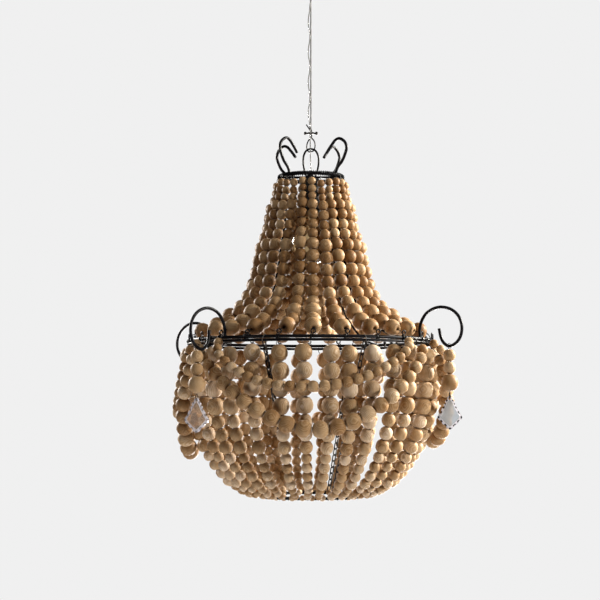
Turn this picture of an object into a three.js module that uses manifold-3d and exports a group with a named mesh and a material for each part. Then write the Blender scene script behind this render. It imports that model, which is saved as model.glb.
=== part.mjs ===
// A beaded chandelier: a wire frame hung with strings of turned wooden beads and four crystals,
// on a steel cable with its flex waving down beside it. Millimetres, +Z up.
// The origin is the centre of the ceiling rose's flat top.
// Compass angles are degrees about Z: 0 faces the viewer (-Y), 90 is to the right (+X).
import * as THREE from "three";
import { mergeVertices } from "three/addons/utils/BufferGeometryUtils.js";
import Module from "manifold-3d";

const wasm = await Module();
wasm.setup();

// Heights below the ceiling, and the three rings
const topRingDrop = 347;
const mainRingDrop = 595;
const bottomRingDrop = 825;
const topRingRadius = 47;
const mainRingRadius = 183;
const bottomRingRadius = 75;

// Wire and thread diameters
const topRingWire = 4.5;
const mainRingWire = 4.2;
const strandRingWire = 2.8;
const bottomRingWire = 4;
const scrollWire = 4.5;
const ribWire = 3.5;
const bailWire = 3;
const hookWire = 4;
const threadWire = 1;
const cableWire = 2;
const flexWire = 1.8;

// Gaps that touching pieces keep
const fit = 0.3;
const beadSlack = 0.8;

// Bead sizes in the order that they are threaded from the top
const beadLengthShare = 0.93;
const neckShare = 0.4;
const upperBeads = [12, 12, 12, 16, 16, 16, 16, 20, 20, 20, 20, 20, 20, 25, 25, 25];
const lowerBeads = [25, 25, 25, 25, 20, 20, 20, 16, 16, 16, 16, 12, 12, 12];
const dropBeads = [18, 18, 25];
const upperSwagBead = 16;
const lowerSwagEndBead = 20;
const lowerSwagMiddleBead = 25;

// Counts round the rings
const upperStrands = 24;
const lowerStrands = 32;
const upperGroups = 4;
const lowerGroups = 8;
const upperStartAngle = -29;
const lowerStartAngle = -15.25;
const turnAngle = 360;

// The strings' outline from the top ring to the main ring: shares of the way out and down
const upperStringShares = [
  [0.03, 0.019], [0.059, 0.125], [0.114, 0.214], [0.143, 0.315], [0.202, 0.415],
  [0.243, 0.516], [0.298, 0.649], [0.368, 0.738], [0.463, 0.806], [0.581, 0.859],
  [0.702, 0.907], [0.853, 0.94], [0.956, 0.96],
];
// and from the main ring in to the bottom ring
const lowerStringShares = [
  [0.0, 0.043], [-0.014, 0.1], [-0.014, 0.239], [0.023, 0.413], [0.102, 0.565],
  [0.227, 0.704], [0.389, 0.822], [0.56, 0.909], [0.741, 0.965], [0.917, 0.991],
];
// The ribs inside the upper strings, as the same shares
const ribShares = [
  [-0.01, 0.09], [0.02, 0.26], [0.09, 0.46], [0.18, 0.675],
  [0.3, 0.81], [0.475, 0.9], [0.66, 0.965], [0.83, 0.99],
];

// Scrolls: each point is a share of the reach and of the rise, from the root on its ring
const crownReach = 22;
const crownRise = 51;
const crownAngles = { front_left: -42, front_right: 50.5, back_right: 140, back_left: -130 };
const crownShares = [
  [0.2, 0.15], [0.55, 0.3], [0.82, 0.49], [0.98, 0.7], [0.82, 0.88],
  [0.35, 1], [0, 0.96], [-0.27, 0.85], [-0.52, 0.735], [-0.73, 0.62],
];
const scrollReach = 66;
const scrollRise = 42;
const scrollAngles = { front_left: -41.5, front_right: 59, back_right: 140, back_left: -122 };
const scrollDroopAngles = { front_left: 8, front_right: 0, back_right: 0, back_left: 18 };
const scrollShares = [
  [-0.01, 0.24], [0.02, 0.48], [0.14, 0.78], [0.33, 0.955], [0.53, 1], [0.76, 0.9],
  [0.93, 0.66], [1, 0.33], [0.97, 0], [0.86, -0.23], [0.7, -0.335],
  [0.57, -0.22], [0.5, -0.02], [0.46, 0.27],
];
const hangShares = { front_left: 0.71, front_right: 0.79, back_right: 0.79, back_left: 0.71 };

// Swags, draped over the lower strings between the scrolls
const upperSwagDepths = { front: 70, right: 88, back: 70, left: 108 };
const lowerSwagDepths = { front: 129, right: 149, back: 126, left: 164 };
const upperSwagLead = 3;
const lowerSwagLeads = { front: 5, right: 24, back: 24, left: 24 };
const upperSwagAngles = {
  front: [-43, 46.5], right: [65.5, 133.5], back: [146.5, 231.5], left: [-115.5, -57],
};
const lowerSwagAngles = {
  front: [-51, 51], right: [60.2, 138.8], back: [141.2, 236.8], left: [-120.8, -52.5],
};
const upperSwagPowerShares = { front: 2.3, right: 2.3, back: 2.3, left: 2.3 };
const lowerSwagPowerShares = { front: 1.9, right: 1.9, back: 1.9, left: 1.9 };
const upperSwagLeanShares = { front: 0.86, right: 1, back: 1, left: 1 };
const lowerSwagLeanShares = { front: 1.06, right: 1, back: 1, left: 1 };
const swagEaseDepth = 22;
const swagSteps = 24;

// Crystals: a kite, pointed at both ends, on a wire loop under each drop
const crystalWidth = 36;
const crystalHeight = 50;
const crystalMiddle = 9;
const crystalRim = 3;
const crystalHole = 3.4;
const crystalHoleDepth = 5.5;
const crystalFacingAngles = { front_left: -15, front_right: 0, back_right: 150, back_left: -60 };
const crystalSideShares = [
  [0.17, 0.13], [0.3, 0.33], [0.5, 0.6], [0.4, 0.75], [0.17, 0.92],
];
const crystalCentreShare = 0.6;
const scrollLoopRadius = 4.3;
const crystalLoopRadius = 4.6;
const loopOpeningAngle = 50;

// Chains from the strand ring down to the bottom ring
const chainAngles = { front_left: -20.9, front_right: 24.1, back_right: 159.1, back_left: -155.9 };
const linkPitch = 13;
const linkWidth = 6;
const linkWire = 1.6;

// Ceiling rose, hook, cable and flex
const roseRadius = 40;
const roseDepth = 20;
const roseWall = 2;
const roseMouth = 9;
const outletRadius = 2.6;
const outletOffset = -14;
const hookDrop = 42;
const hookBend = 6;
const hookTipRise = 12;
const cableEyeTop = 14;
const ferruleTop = 60;
const ferruleLength = 8;
const ferruleRadius = 4.2;
const cableSpace = 1.3;
const eyeWidth = 18;
const eyeTurnAngle = 45;
const eyeSlack = 1.2;
const clampDrop = 279.5;
const clampWidth = 9;
const clampDepth = 6.4;
const clampHeight = 3;
const clampSpan = 21;
const clampArmThick = 1.8;
const clampKnob = 4;
const tailLength = [7, 9];
const tailRise = 4.5;
const wavePitch = 47;
const waveTop = 84;
const waveClear = 7.5;
const waveSteps = 6;
const flexBeside = [2.6, 1.5];
const flexSway = [1.4, 0.8];
const flexFront = 4.6;
const flexPass = [-1, -3.1];
const flexCut = 1.5;

// Bail, crossbar, nut, bulb holder and bulb
const bailWidth = 22;
const bailDrop = 303.5;
const bailFoot = 16;
const crossbarWidth = 8;
const crossbarThick = 3;
const nutRadius = 5.8;
const nutHeight = 8;
const holderRadius = 17;
const holderLength = 52;
const socketRadius = 13.4;
const socketDepth = 26;
const bulbRadius = 30;
const bulbLength = 104;
const capLength = 27;

// How finely each form is faceted
const wireSides = 4;
const wirePhaseShare = 0.5;
const threadSides = 3;
const smallBead = 16;
const smallBeadSides = 3;
const beadSides = 4;
const cableSides = 6;
const flexSides = 5;
const roundSides = 10;
const holeSides = 6;
const roseSides = 16;
const loopSteps = 8;

// Places worked out from the dimensions above
const topRingZ = -topRingDrop;
const mainRingZ = -mainRingDrop;
const bottomRingZ = -bottomRingDrop;
const strandRingZ = mainRingZ - (mainRingWire + strandRingWire) / 2 - threadWire - fit;
const UP = new THREE.Vector3(0, 0, 1);
const RIGHT = new THREE.Vector3(1, 0, 0);

// A point at a radius, a compass angle and a height.
function place(radius, angle, height) {
  const a = THREE.MathUtils.degToRad(angle);
  return new THREE.Vector3(radius * Math.sin(a), -radius * Math.cos(a), height);
}

// Points given as shares between two corners of a vertical plane: [out, height] pairs.
function between(shares, outStart, outEnd, zStart, zEnd) {
  return shares.map(([out, down]) => [
    THREE.MathUtils.lerp(outStart, outEnd, out),
    THREE.MathUtils.lerp(zStart, zEnd, down),
  ]);
}

// Each station is a place on a wire with its radius and its number of sides. Its first corner
// faces outwards, or its first flat does where the phase is a half.
function station(at, size, sides, phase = 0) {
  return { at, size, sides, phase };
}

// Gives every station its direction and the axes that its ring of corners is set out on.
function withAxes(stations, closed) {
  const n = stations.length;
  return stations.map((s, i) => {
    const before = stations[closed ? (i + n - 1) % n : Math.max(i - 1, 0)].at;
    const after = stations[closed ? (i + 1) % n : Math.min(i + 1, n - 1)].at;
    const along = s.at.clone().sub(before).normalize();
    along.add(after.clone().sub(s.at).normalize()).normalize();
    if (s.upright) along.set(0, 0, Math.sign(along.z));
    let aim = new THREE.Vector3(s.at.x, s.at.y, 0).normalize();
    const steep = 0.95;
    if (aim.lengthSq() === 0 || Math.abs(aim.dot(along)) > steep) aim = UP;
    if (Math.abs(aim.dot(along)) > steep) aim = RIGHT;
    const u = aim.clone().addScaledVector(along, -aim.dot(along)).normalize();
    const v = along.clone().cross(u);
    return { ...s, along, u, v };
  });
}

// Joins two neighbouring rings of corners, which may have different numbers of sides.
function zip(a, b, faces) {
  const turned = new THREE.Quaternion().setFromUnitVectors(b.along, a.along);
  const u = b.u.clone().applyQuaternion(turned);
  const stepA = (2 * Math.PI) / a.sides;
  const stepB = (2 * Math.PI) / b.sides;
  const offset = Math.atan2(u.dot(a.v), u.dot(a.u)) + b.phase * stepB - a.phase * stepA;
  const first = Math.round(-offset / stepB);
  const start = offset + first * stepB;
  const cornerA = (k) => a.start + (k % a.sides);
  const cornerB = (k) => b.start + (((first + k) % b.sides) + b.sides) % b.sides;
  let i = 0;
  let j = 0;
  while (i < a.sides || j < b.sides) {
    const nextA = (i + 1) * stepA;
    const nextB = start + (j + 1) * stepB;
    if (j === b.sides || (i < a.sides && nextA <= nextB)) {
      faces.push(cornerA(i), cornerA(i + 1), cornerB(j));
      i += 1;
    } else {
      faces.push(cornerA(i), cornerB(j + 1), cornerB(j));
      j += 1;
    }
  }
}

// One closed skin through all the stations: a wire, a string of beads or a chain.
function loft(stations, closed = false) {
  const corners = [];
  const faces = [];
  const rings = withAxes(stations, closed);
  for (const ring of rings) {
    ring.start = corners.length / 3;
    for (let k = 0; k < ring.sides; k += 1) {
      const angle = (2 * Math.PI * (k + ring.phase)) / ring.sides;
      const corner = ring.at.clone();
      corner.addScaledVector(ring.u, ring.size * Math.cos(angle));
      corner.addScaledVector(ring.v, (ring.deep ?? ring.size) * Math.sin(angle));
      corners.push(...corner);
    }
  }
  rings.forEach((ring, i) => {
    if (i > 0) zip(rings[i - 1], ring, faces);
  });
  const head = rings[0];
  const tail = rings[rings.length - 1];
  if (closed) {
    zip(tail, head, faces);
  } else {
    for (let k = 1; k < head.sides - 1; k += 1) {
      faces.push(head.start, head.start + k + 1, head.start + k);
    }
    for (let k = 1; k < tail.sides - 1; k += 1) {
      faces.push(tail.start, tail.start + k, tail.start + k + 1);
    }
  }
  const geometry = new THREE.BufferGeometry();
  geometry.setAttribute("position", new THREE.Float32BufferAttribute(corners, 3));
  geometry.setIndex(faces);
  return geometry;
}

// The corner radius of a section with few sides that has the area of a round one.
function cornerRadius(diameter, sides) {
  const angle = (2 * Math.PI) / sides;
  return (diameter / 2) * Math.sqrt(angle / Math.sin(angle));
}

// A plain wire through points. Upright ends are cut level, to stand on what is under them.
function wire(points, diameter, sides = wireSides, uprightEnds = false) {
  const corner = cornerRadius(diameter, sides);
  const stations = points.map((at) => station(at, corner, sides, wirePhaseShare));
  stations[0].upright = uprightEnds;
  stations[stations.length - 1].upright = uprightEnds;
  return loft(stations);
}

// How far a hoop's straight facets lie inside its circle.
function facetDepth(radius, steps) {
  return radius * (1 - Math.cos(Math.PI / steps));
}

// A horizontal hoop of wire, half its facets' depth outside its circle at its corners.
function hoop(radius, height, diameter, steps) {
  const stations = [];
  const corner = cornerRadius(diameter, wireSides);
  for (let k = 0; k < steps; k += 1) {
    const at = place(radius + facetDepth(radius, steps) / 2, (turnAngle * k) / steps, height);
    stations.push(station(at, corner, wireSides, wirePhaseShare));
  }
  return loft(stations, true);
}

// A turned piece from a profile of [radius, height] pairs that closes on itself or on the axis.
function turned(profile, segments = roundSides) {
  const points = profile.map(([r, z]) => new THREE.Vector2(r, z));
  const geometry = new THREE.LatheGeometry(points, segments);
  geometry.rotateX(Math.PI / 2);
  return geometry;
}

// The solid of a closed geometry, for cutting.
function solid(geometry) {
  const bare = geometry.clone();
  bare.deleteAttribute("normal");
  bare.deleteAttribute("uv");
  const merged = mergeVertices(bare);
  return new wasm.Manifold(
    new wasm.Mesh({
      numProp: 3,
      vertProperties: merged.attributes.position.array,
      triVerts: new Uint32Array(merged.index.array),
    }),
  );
}

// The geometry of a cut solid.
function geometryOf(cut) {
  const mesh = cut.getMesh();
  const geometry = new THREE.BufferGeometry();
  const places = new Float32Array(mesh.vertProperties);
  geometry.setAttribute("position", new THREE.BufferAttribute(places, mesh.numProp));
  geometry.setIndex([...mesh.triVerts]);
  return geometry;
}

const chandelier = new THREE.Group();

// Adds a named piece with its own material.
function add(name, geometry, colour, roughness, metalness) {
  const material = new THREE.MeshStandardMaterial({ color: colour, roughness, metalness });
  const mesh = new THREE.Mesh(geometry, material);
  mesh.name = name;
  chandelier.add(mesh);
  return mesh;
}
const addIron = (name, geometry) => add(name, geometry, 0x1a1716, 0.45, 0.8);
const addSteel = (name, geometry) => add(name, geometry, 0x8d8a84, 0.35, 0.9);
const addWood = (name, geometry) => add(name, geometry, 0xb08d5e, 0.6, 0);

// Threads beads along a curve, each with its share of the length. A bead is two tapers, from
// its waist to the narrow necks at its ends. The result runs from start to end.
function thread(curve, beads) {
  const total = beads.reduce((sum, size) => sum + size, 0);
  const stations = [];
  let reached = 0;
  beads.forEach((size, i) => {
    const neck = i === 0 ? threadWire : Math.min(beads[i - 1], size) * neckShare;
    const sides = size > smallBead ? beadSides : smallBeadSides;
    stations.push(station(curve.getPointAt(reached / total), neck / 2, threadSides));
    stations.push(station(curve.getPointAt((reached + size / 2) / total), size / 2, sides));
    reached += size;
  });
  stations.push(station(curve.getPointAt(1), threadWire / 2, threadSides));
  return stations;
}

// A string's stations in the vertical plane of its outline, from the top down.
function stringOf(points, beads) {
  const curve = new THREE.CatmullRomCurve3(points.map(([r, z]) => new THREE.Vector3(r, 0, z)));
  return thread(curve, beads);
}

const upperOutline = between(upperStringShares, topRingRadius, mainRingRadius, topRingZ, mainRingZ);
const lowerOutline = between(
  lowerStringShares, mainRingRadius, bottomRingRadius, mainRingZ, bottomRingZ,
);
const upperString = stringOf(upperOutline, upperBeads);
const lowerString = stringOf(lowerOutline, lowerBeads);

// Where a thread rounds a ring's wire: the corners it passes, as [out, up] signs, and how far
// along to the next string each one lies. Inside, it also clears the ring's straight facets.
function turnRound(radius, height, wireSize, steps, corners, shares) {
  const reach = (wireSize + threadWire + fit) / 2;
  const inside = reach + facetDepth(radius, steps) / 2;
  return { radius, height, reach, inside, corners, shares };
}
const ringSteps = 36;
const smallRingSteps = 24;
const overTopRing = turnRound(
  topRingRadius, topRingZ, topRingWire, smallRingSteps,
  [[1, 1], [-1, 1], [-1, -1]], [0.15, 0.5, 0.85],
);
const roundMainRing = turnRound(
  mainRingRadius, mainRingZ, mainRingWire, ringSteps,
  [[1, 1], [1, -1], [-1, -1]], [0, 0.06, 0.12],
);
const overStrandRing = turnRound(
  mainRingRadius, strandRingZ, strandRingWire, ringSteps,
  [[1, -1], [1, 1], [-1, 1], [-1, -1]], [0.02, 0.05, 0.1, 0.14],
);
const roundBottomRing = turnRound(
  bottomRingRadius, bottomRingZ, bottomRingWire, smallRingSteps,
  [[1, -1], [-1, -1], [-1, 1]], [0.1, 0.4, 0.8],
);

function cornersOf(way, angle, pitch) {
  return way.corners.map(([out, up], k) => {
    const radius = way.radius + (out > 0 ? way.reach : -way.inside);
    const at = place(radius, angle + way.shares[k] * pitch, way.height + up * way.reach);
    return station(at, threadWire / 2, threadSides);
  });
}

// Neighbouring strings on one thread: up one, round the upper ring, down the next, round the
// lower ring and up again, with an end wrapped round the lower ring on each side. The wrapped
// ends reach only part of the way to the next group.
function stringGroup(string, first, count, pitch, above, below) {
  const endPitch = pitch / 2;
  const stations = [...cornersOf(below, first, -endPitch).reverse()];
  for (let k = 0; k < count; k += 1) {
    const angle = first + k * pitch;
    const goesUp = k % 2 === 0;
    const run = string.map((s) => station(place(s.at.x, angle, s.at.z), s.size, s.sides));
    stations.push(...(goesUp ? run.reverse() : run));
    const reach = k === count - 1 ? endPitch : pitch;
    stations.push(...cornersOf(goesUp ? above : below, angle, reach));
  }
  return loft(stations);
}

function addStrings(label, string, strands, groups, start, above, below) {
  const pitch = turnAngle / strands;
  const count = strands / groups;
  for (let g = 0; g < groups; g += 1) {
    const first = start + g * count * pitch;
    addWood(`${label}_${g + 1}`, stringGroup(string, first, count, pitch, above, below));
  }
}

// Chandelier frame: rings
addIron("top_ring", hoop(topRingRadius, topRingZ, topRingWire, smallRingSteps));
addIron("main_ring", hoop(mainRingRadius, mainRingZ, mainRingWire, ringSteps));
addIron("strand_ring", hoop(mainRingRadius, strandRingZ, strandRingWire, ringSteps));
addIron("bottom_ring", hoop(bottomRingRadius, bottomRingZ, bottomRingWire, smallRingSteps));

// Strings of beads
addStrings(
  "upper_strings", upperString, upperStrands, upperGroups, upperStartAngle, overTopRing, roundMainRing,
);
addStrings(
  "lower_strings", lowerString, lowerStrands, lowerGroups, lowerStartAngle, overStrandRing,
  roundBottomRing,
);

// Ribs that carry the main ring, hidden inside the upper strings
const ribRise = 1;
const ribPitch = turnAngle / upperGroups;
const ribStart = upperStartAngle - turnAngle / upperStrands / 2;
const ribProfile = [
  [topRingRadius - ribWire / 4, topRingZ - topRingWire / 2 - fit],
  ...between(ribShares, topRingRadius, mainRingRadius, topRingZ, mainRingZ),
  [roundMainRing.radius - roundMainRing.inside, mainRingZ + ribRise],
];
for (let k = 0; k < upperGroups; k += 1) {
  const angle = ribStart + k * ribPitch;
  addIron(`rib_${k + 1}`, wire(ribProfile.map(([r, z]) => place(r, angle, z)), ribWire));
}

// A scroll in the vertical plane at a compass angle, leaning down about its root by a droop.
function scrollPoints(ringRadius, rootZ, shares, reach, rise, angle, droop = 0) {
  const lean = THREE.MathUtils.degToRad(droop);
  const root = [place(ringRadius, angle, rootZ)];
  return root.concat(
    shares.map(([out, up]) => {
      const x = out * reach;
      const z = up * rise;
      const outward = x * Math.cos(lean) + z * Math.sin(lean);
      return place(ringRadius + outward, angle, rootZ + z * Math.cos(lean) - x * Math.sin(lean));
    }),
  );
}

const crownRootZ = topRingZ + topRingWire / 2 + fit;
for (const [side, angle] of Object.entries(crownAngles)) {
  const points = scrollPoints(topRingRadius, crownRootZ, crownShares, crownReach, crownRise, angle);
  addIron(`crown_scroll_${side}`, wire(points, scrollWire, wireSides, true));
}

const scrollRootZ = mainRingZ + mainRingWire / 2 + fit;
const scrolls = {};
for (const [side, angle] of Object.entries(scrollAngles)) {
  scrolls[side] = scrollPoints(
    mainRingRadius, scrollRootZ, scrollShares, scrollReach, scrollRise, angle, scrollDroopAngles[side],
  );
  addIron(`main_scroll_${side}`, wire(scrolls[side], scrollWire, wireSides, true));
}

// An open loop of thin wire in the plane of a sideways direction and the vertical, as stations
// from its free end round to the stem, which is below it (or above it, for a hanging loop).
function openLoop(centre, sideways, radius, hangs) {
  const stations = [];
  const sweep = turnAngle - loopOpeningAngle;
  for (let k = 0; k <= loopSteps; k += 1) {
    const angle = THREE.MathUtils.degToRad(loopOpeningAngle + (sweep * k) / loopSteps);
    const at = centre.clone().addScaledVector(sideways, radius * Math.sin(angle));
    at.z += radius * Math.cos(angle) * (hangs ? 1 : -1);
    stations.push(station(at, threadWire / 2, threadSides));
  }
  return stations;
}

// Drops: a loop on the scroll's lowest point, three beads, and a loop through the crystal
const crystalLoopStem = 1;
function crystalGeometry() {
  const outline = [[0, 0]];
  for (const [x, z] of crystalSideShares) outline.push([x * crystalWidth, -z * crystalHeight]);
  outline.push([0, -crystalHeight]);
  for (const [x, z] of [...crystalSideShares].reverse()) {
    outline.push([-x * crystalWidth, -z * crystalHeight]);
  }
  const corners = [];
  for (const y of [-crystalRim / 2, crystalRim / 2]) {
    for (const [x, z] of outline) corners.push(x, y, z);
  }
  for (const y of [-crystalMiddle / 2, crystalMiddle / 2]) {
    corners.push(0, y, -crystalHeight * crystalCentreShare);
  }
  const n = outline.length;
  const faces = [];
  for (let k = 0; k < n; k += 1) {
    const next = (k + 1) % n;
    faces.push(k, next, n + k, next, n + next, n + k);
    faces.push(2 * n, next, k);
    faces.push(2 * n + 1, n + k, n + next);
  }
  const stone = new THREE.BufferGeometry();
  stone.setAttribute("position", new THREE.Float32BufferAttribute(corners, 3));
  stone.setIndex(faces);
  const drill = new THREE.CylinderGeometry(
    crystalHole / 2, crystalHole / 2, 2 * crystalMiddle, holeSides,
  );
  drill.translate(0, 0, -crystalHoleDepth);
  return geometryOf(solid(stone).subtract(solid(drill)));
}

for (const [side, points] of Object.entries(scrolls)) {
  const low = points[Math.round(hangShares[side] * (points.length - 1))];
  const across = place(1, scrollAngles[side] + turnAngle / 4, 0);
  const facing = place(1, crystalFacingAngles[side], 0);
  const loopTop = openLoop(low, across, scrollLoopRadius, false);
  const stemTop = low.z - scrollLoopRadius;
  const beadsLength = dropBeads.reduce((sum, size) => sum + size * beadLengthShare, 0);
  const stemBottom = stemTop - beadsLength - (dropBeads.length + 1) * beadSlack;
  const string = new THREE.LineCurve3(
    new THREE.Vector3(low.x, low.y, stemTop), new THREE.Vector3(low.x, low.y, stemBottom),
  );
  const loopCentre = new THREE.Vector3(
    low.x, low.y, stemBottom - crystalLoopStem - crystalLoopRadius,
  );
  const loopBottom = openLoop(loopCentre, facing, crystalLoopRadius, true).reverse();
  addWood(
    `drop_${side}`, loft([...loopTop, ...thread(string, dropBeads), ...loopBottom]),
  );
  const crystal = add(`crystal_${side}`, crystalGeometry(), 0xe8ecef, 0.05, 0);
  crystal.position.copy(loopCentre);
  crystal.position.z += crystalHoleDepth - crystalLoopRadius;
  crystal.rotation.z = THREE.MathUtils.degToRad(crystalFacingAngles[side]);
}

// How far out the lower strings' beads reach at a height.
function outsideAt(height) {
  const waists = lowerString.filter((s, i) => i % 2 === 1);
  const reachOf = (s) => s.at.x + s.size;
  const below = waists.findIndex((s) => s.at.z < height);
  if (below <= 0) return reachOf(waists[0]);
  const a = waists[below - 1];
  const b = waists[below];
  const share = (a.at.z - height) / (a.at.z - b.at.z);
  return THREE.MathUtils.lerp(reachOf(a), reachOf(b), share);
}

// A swag between two compass angles: its thread leaves the outside of the main ring and drops by
// a lead, its beads drape over the lower strings and grow towards the middle. A lean under 1
// brings its lowest point nearer to its start.
function swag(from, to, lead, depth, power, lean, endBead, middleBead) {
  const hookOut = mainRingRadius + (mainRingWire + threadWire) / 2;
  const ball = middleBead / 2 + beadSlack;
  const points = [];
  for (let k = 0; k <= swagSteps; k += 1) {
    const across = 2 * (k / swagSteps) ** lean - 1;
    const fall = lead + (depth - lead) * (1 - Math.abs(across) ** power);
    const height = mainRingZ - fall;
    const ease = Math.sin((Math.min(fall / swagEaseDepth, 1) * Math.PI) / 2);
    const out = THREE.MathUtils.lerp(hookOut, outsideAt(height) + ball, ease);
    points.push(place(out, THREE.MathUtils.lerp(from, to, k / swagSteps), height));
  }
  const curve = new THREE.CatmullRomCurve3(points);
  const length = curve.getLength();
  const typical = (endBead + middleBead) / 2;
  const count = Math.floor((length - 2 * beadSlack) / (typical * beadLengthShare + beadSlack));
  const beads = [];
  for (let k = 0; k < count; k += 1) {
    const inward = Math.sin((Math.PI * (k + 1)) / (count + 1));
    beads.push(THREE.MathUtils.lerp(endBead, middleBead, inward));
  }
  const stations = thread(curve, beads);
  const start = station(place(hookOut, from, mainRingZ), threadWire / 2, threadSides);
  const end = station(place(hookOut, to, mainRingZ), threadWire / 2, threadSides);
  return loft([start, ...stations, end]);
}

for (const [side, [from, to]] of Object.entries(upperSwagAngles)) {
  addWood(
    `swag_upper_${side}`,
    swag(
      from, to, upperSwagLead, upperSwagDepths[side], upperSwagPowerShares[side],
      upperSwagLeanShares[side], upperSwagBead, upperSwagBead,
    ),
  );
}
for (const [side, [from, to]] of Object.entries(lowerSwagAngles)) {
  addWood(
    `swag_lower_${side}`,
    swag(
      from, to, lowerSwagLeads[side], lowerSwagDepths[side], lowerSwagPowerShares[side],
      lowerSwagLeanShares[side], lowerSwagEndBead, lowerSwagMiddleBead,
    ),
  );
}

// A chain as one solid: each link is wide across and thin deep, and its neighbour the reverse.
function chain(top, bottom) {
  const links = 2 * Math.round(top.distanceTo(bottom) / linkPitch / 2);
  const stations = [];
  const chainSides = 4;
  for (let k = 0; k <= links; k += 1) {
    const at = top.clone().lerp(bottom, k / links);
    const flat = k % 2 === 1;
    stations.push({
      ...station(at, (flat ? linkWidth : linkWire) / 2, chainSides),
      deep: (flat ? linkWire : linkWidth) / 2,
    });
  }
  return loft(stations);
}
for (const [side, angle] of Object.entries(chainAngles)) {
  const top = place(mainRingRadius, angle, strandRingZ - strandRingWire / 2 - linkWire / 2);
  const restZ = bottomRingZ + bottomRingWire / 2 + linkWire / 2;
  addSteel(`chain_${side}`, chain(top, place(bottomRingRadius, angle, restZ)));
}

// Crossbar inside the top ring, with the nut that holds the bulb holder under it
const crossbarLength = 2 * (topRingRadius - topRingWire / 2 - fit);
const crossbar = new THREE.BoxGeometry(crossbarLength, crossbarWidth, crossbarThick);
crossbar.translate(0, 0, topRingZ);
addIron("crossbar", crossbar);
const barTopZ = topRingZ + crossbarThick / 2;
const nutZ = barTopZ + fit;
addIron("holder_nut", turned([
  [0, nutZ], [nutRadius, nutZ], [nutRadius, nutZ + nutHeight], [0, nutZ + nutHeight],
]));

// Bulb holder, open at the bottom, and the bulb screwed up into it
const holderTopZ = topRingZ - crossbarThick / 2 - fit;
const holderEndZ = holderTopZ - holderLength;
const socketTopZ = holderEndZ + socketDepth;
const holderShoulder = 5;
addSteel("bulb_holder", turned([
  [0, socketTopZ], [socketRadius, socketTopZ], [socketRadius, holderEndZ],
  [holderRadius, holderEndZ], [holderRadius, holderTopZ - holderShoulder],
  [holderRadius - holderShoulder, holderTopZ], [0, holderTopZ],
]));
const bulbCapRadius = socketRadius - 2 * fit;
const bulbTopZ = socketTopZ - fit;
const bulbEndZ = bulbTopZ - bulbLength;
const globeZ = bulbEndZ + bulbRadius;
const bulbSteps = 5;
const bulbProfile = [[0, bulbEndZ]];
for (let k = 1; k <= bulbSteps; k += 1) {
  const angle = (Math.PI * 0.72 * k) / bulbSteps;
  bulbProfile.push([bulbRadius * Math.sin(angle), globeZ - bulbRadius * Math.cos(angle)]);
}
bulbProfile.push([bulbCapRadius, bulbTopZ - capLength], [bulbCapRadius, bulbTopZ], [0, bulbTopZ]);
add("bulb", turned(bulbProfile), 0xf2efe6, 0.2, 0);

// Bail: an oval of wire standing on the crossbar
const bailZ = -bailDrop;
const bailFootZ = barTopZ + fit;
const bailShares = [
  [0.7, 0], [0.92, 0.3], [1, 0.58], [0.86, 0.82], [0.5, 0.955], [0, 1],
];
const bailHalf = [[bailFoot / bailWidth, 0], ...bailShares.slice(1)];
const bailOutline = [
  ...bailHalf.map(([x, z]) => [-x, z]),
  ...bailHalf.slice(0, -1).reverse(),
];
const bailPoints = bailOutline.map(
  ([x, z]) => new THREE.Vector3((x * bailWidth) / 2, 0, THREE.MathUtils.lerp(bailFootZ, bailZ, z)),
);
addIron("bail", wire(bailPoints, bailWire, wireSides, true));

// Cable: a tail up beside the clamp, an eye under the bail, up through the clamp, straight up,
// through the ferrule, and a closed eye over the hook.
const clampZ = -clampDrop;
const eyeBottomZ = bailZ - (bailWire + cableWire) / 2 - fit - eyeSlack;
const eyeTopZ = clampZ - clampHeight;
const eyeAngle = turnAngle / 4 - eyeTurnAngle;
const eyeShares = [[0.09, 0.16], [0.36, 0.36], [0.5, 0.62], [0.43, 0.86], [0.26, 0.985]];
const besideCable = (cableWire + cableSpace) / 2;
const onEye = (x, z) => place(x, eyeAngle, z);
const lowerEye = eyeShares.map(([x, fall]) => [
  x * eyeWidth, THREE.MathUtils.lerp(eyeTopZ, eyeBottomZ, fall),
]);
const [tailOut, tailUp] = tailLength;
const clampEdge = clampHeight / 2 + cableWire / 2;
const cablePoints = [
  new THREE.Vector3(-tailOut, 0, clampZ + tailRise + tailUp),
  onEye(-besideCable, clampZ + tailRise),
  onEye(-besideCable, clampZ + clampEdge),
  onEye(-besideCable, clampZ - clampEdge),
  ...lowerEye.map(([x, z]) => onEye(-x, z)),
  onEye(0, eyeBottomZ),
  ...lowerEye.reverse().map(([x, z]) => onEye(x, z)),
  onEye(besideCable, clampZ - clampEdge),
  onEye(besideCable, clampZ + clampEdge),
];
const waveBottom = clampDrop - waveClear;
const waveCount = Math.floor((waveBottom - waveTop) / wavePitch);
const ferruleEndZ = -ferruleTop - ferruleLength;
const straightEnds = [-waveBottom, ferruleEndZ - 4 * cableWire];
cablePoints.push(...straightEnds.map((z) => new THREE.Vector3(0, 0, z)));
const hookZ = -hookDrop;
const eyeOverHookZ = hookZ + (hookWire + cableWire) / 2 + 2 * fit;
const upperEyeShares = [[0.26, 0.2], [0.5, 0.55], [0.45, 0.8], [0.26, 0.96]];
const upperEye = upperEyeShares.map(([x, rise]) => [
  x * cableEyeTop, THREE.MathUtils.lerp(-ferruleTop, eyeOverHookZ, rise),
]);
for (const z of [ferruleEndZ - cableWire, -ferruleTop + cableWire / 2]) {
  cablePoints.push(new THREE.Vector3(besideCable, 0, z));
}
cablePoints.push(...upperEye.map(([x, z]) => new THREE.Vector3(x, 0, z)));
cablePoints.push(new THREE.Vector3(0, 0, eyeOverHookZ));
cablePoints.push(...upperEye.reverse().map(([x, z]) => new THREE.Vector3(-x, 0, z)));
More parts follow.
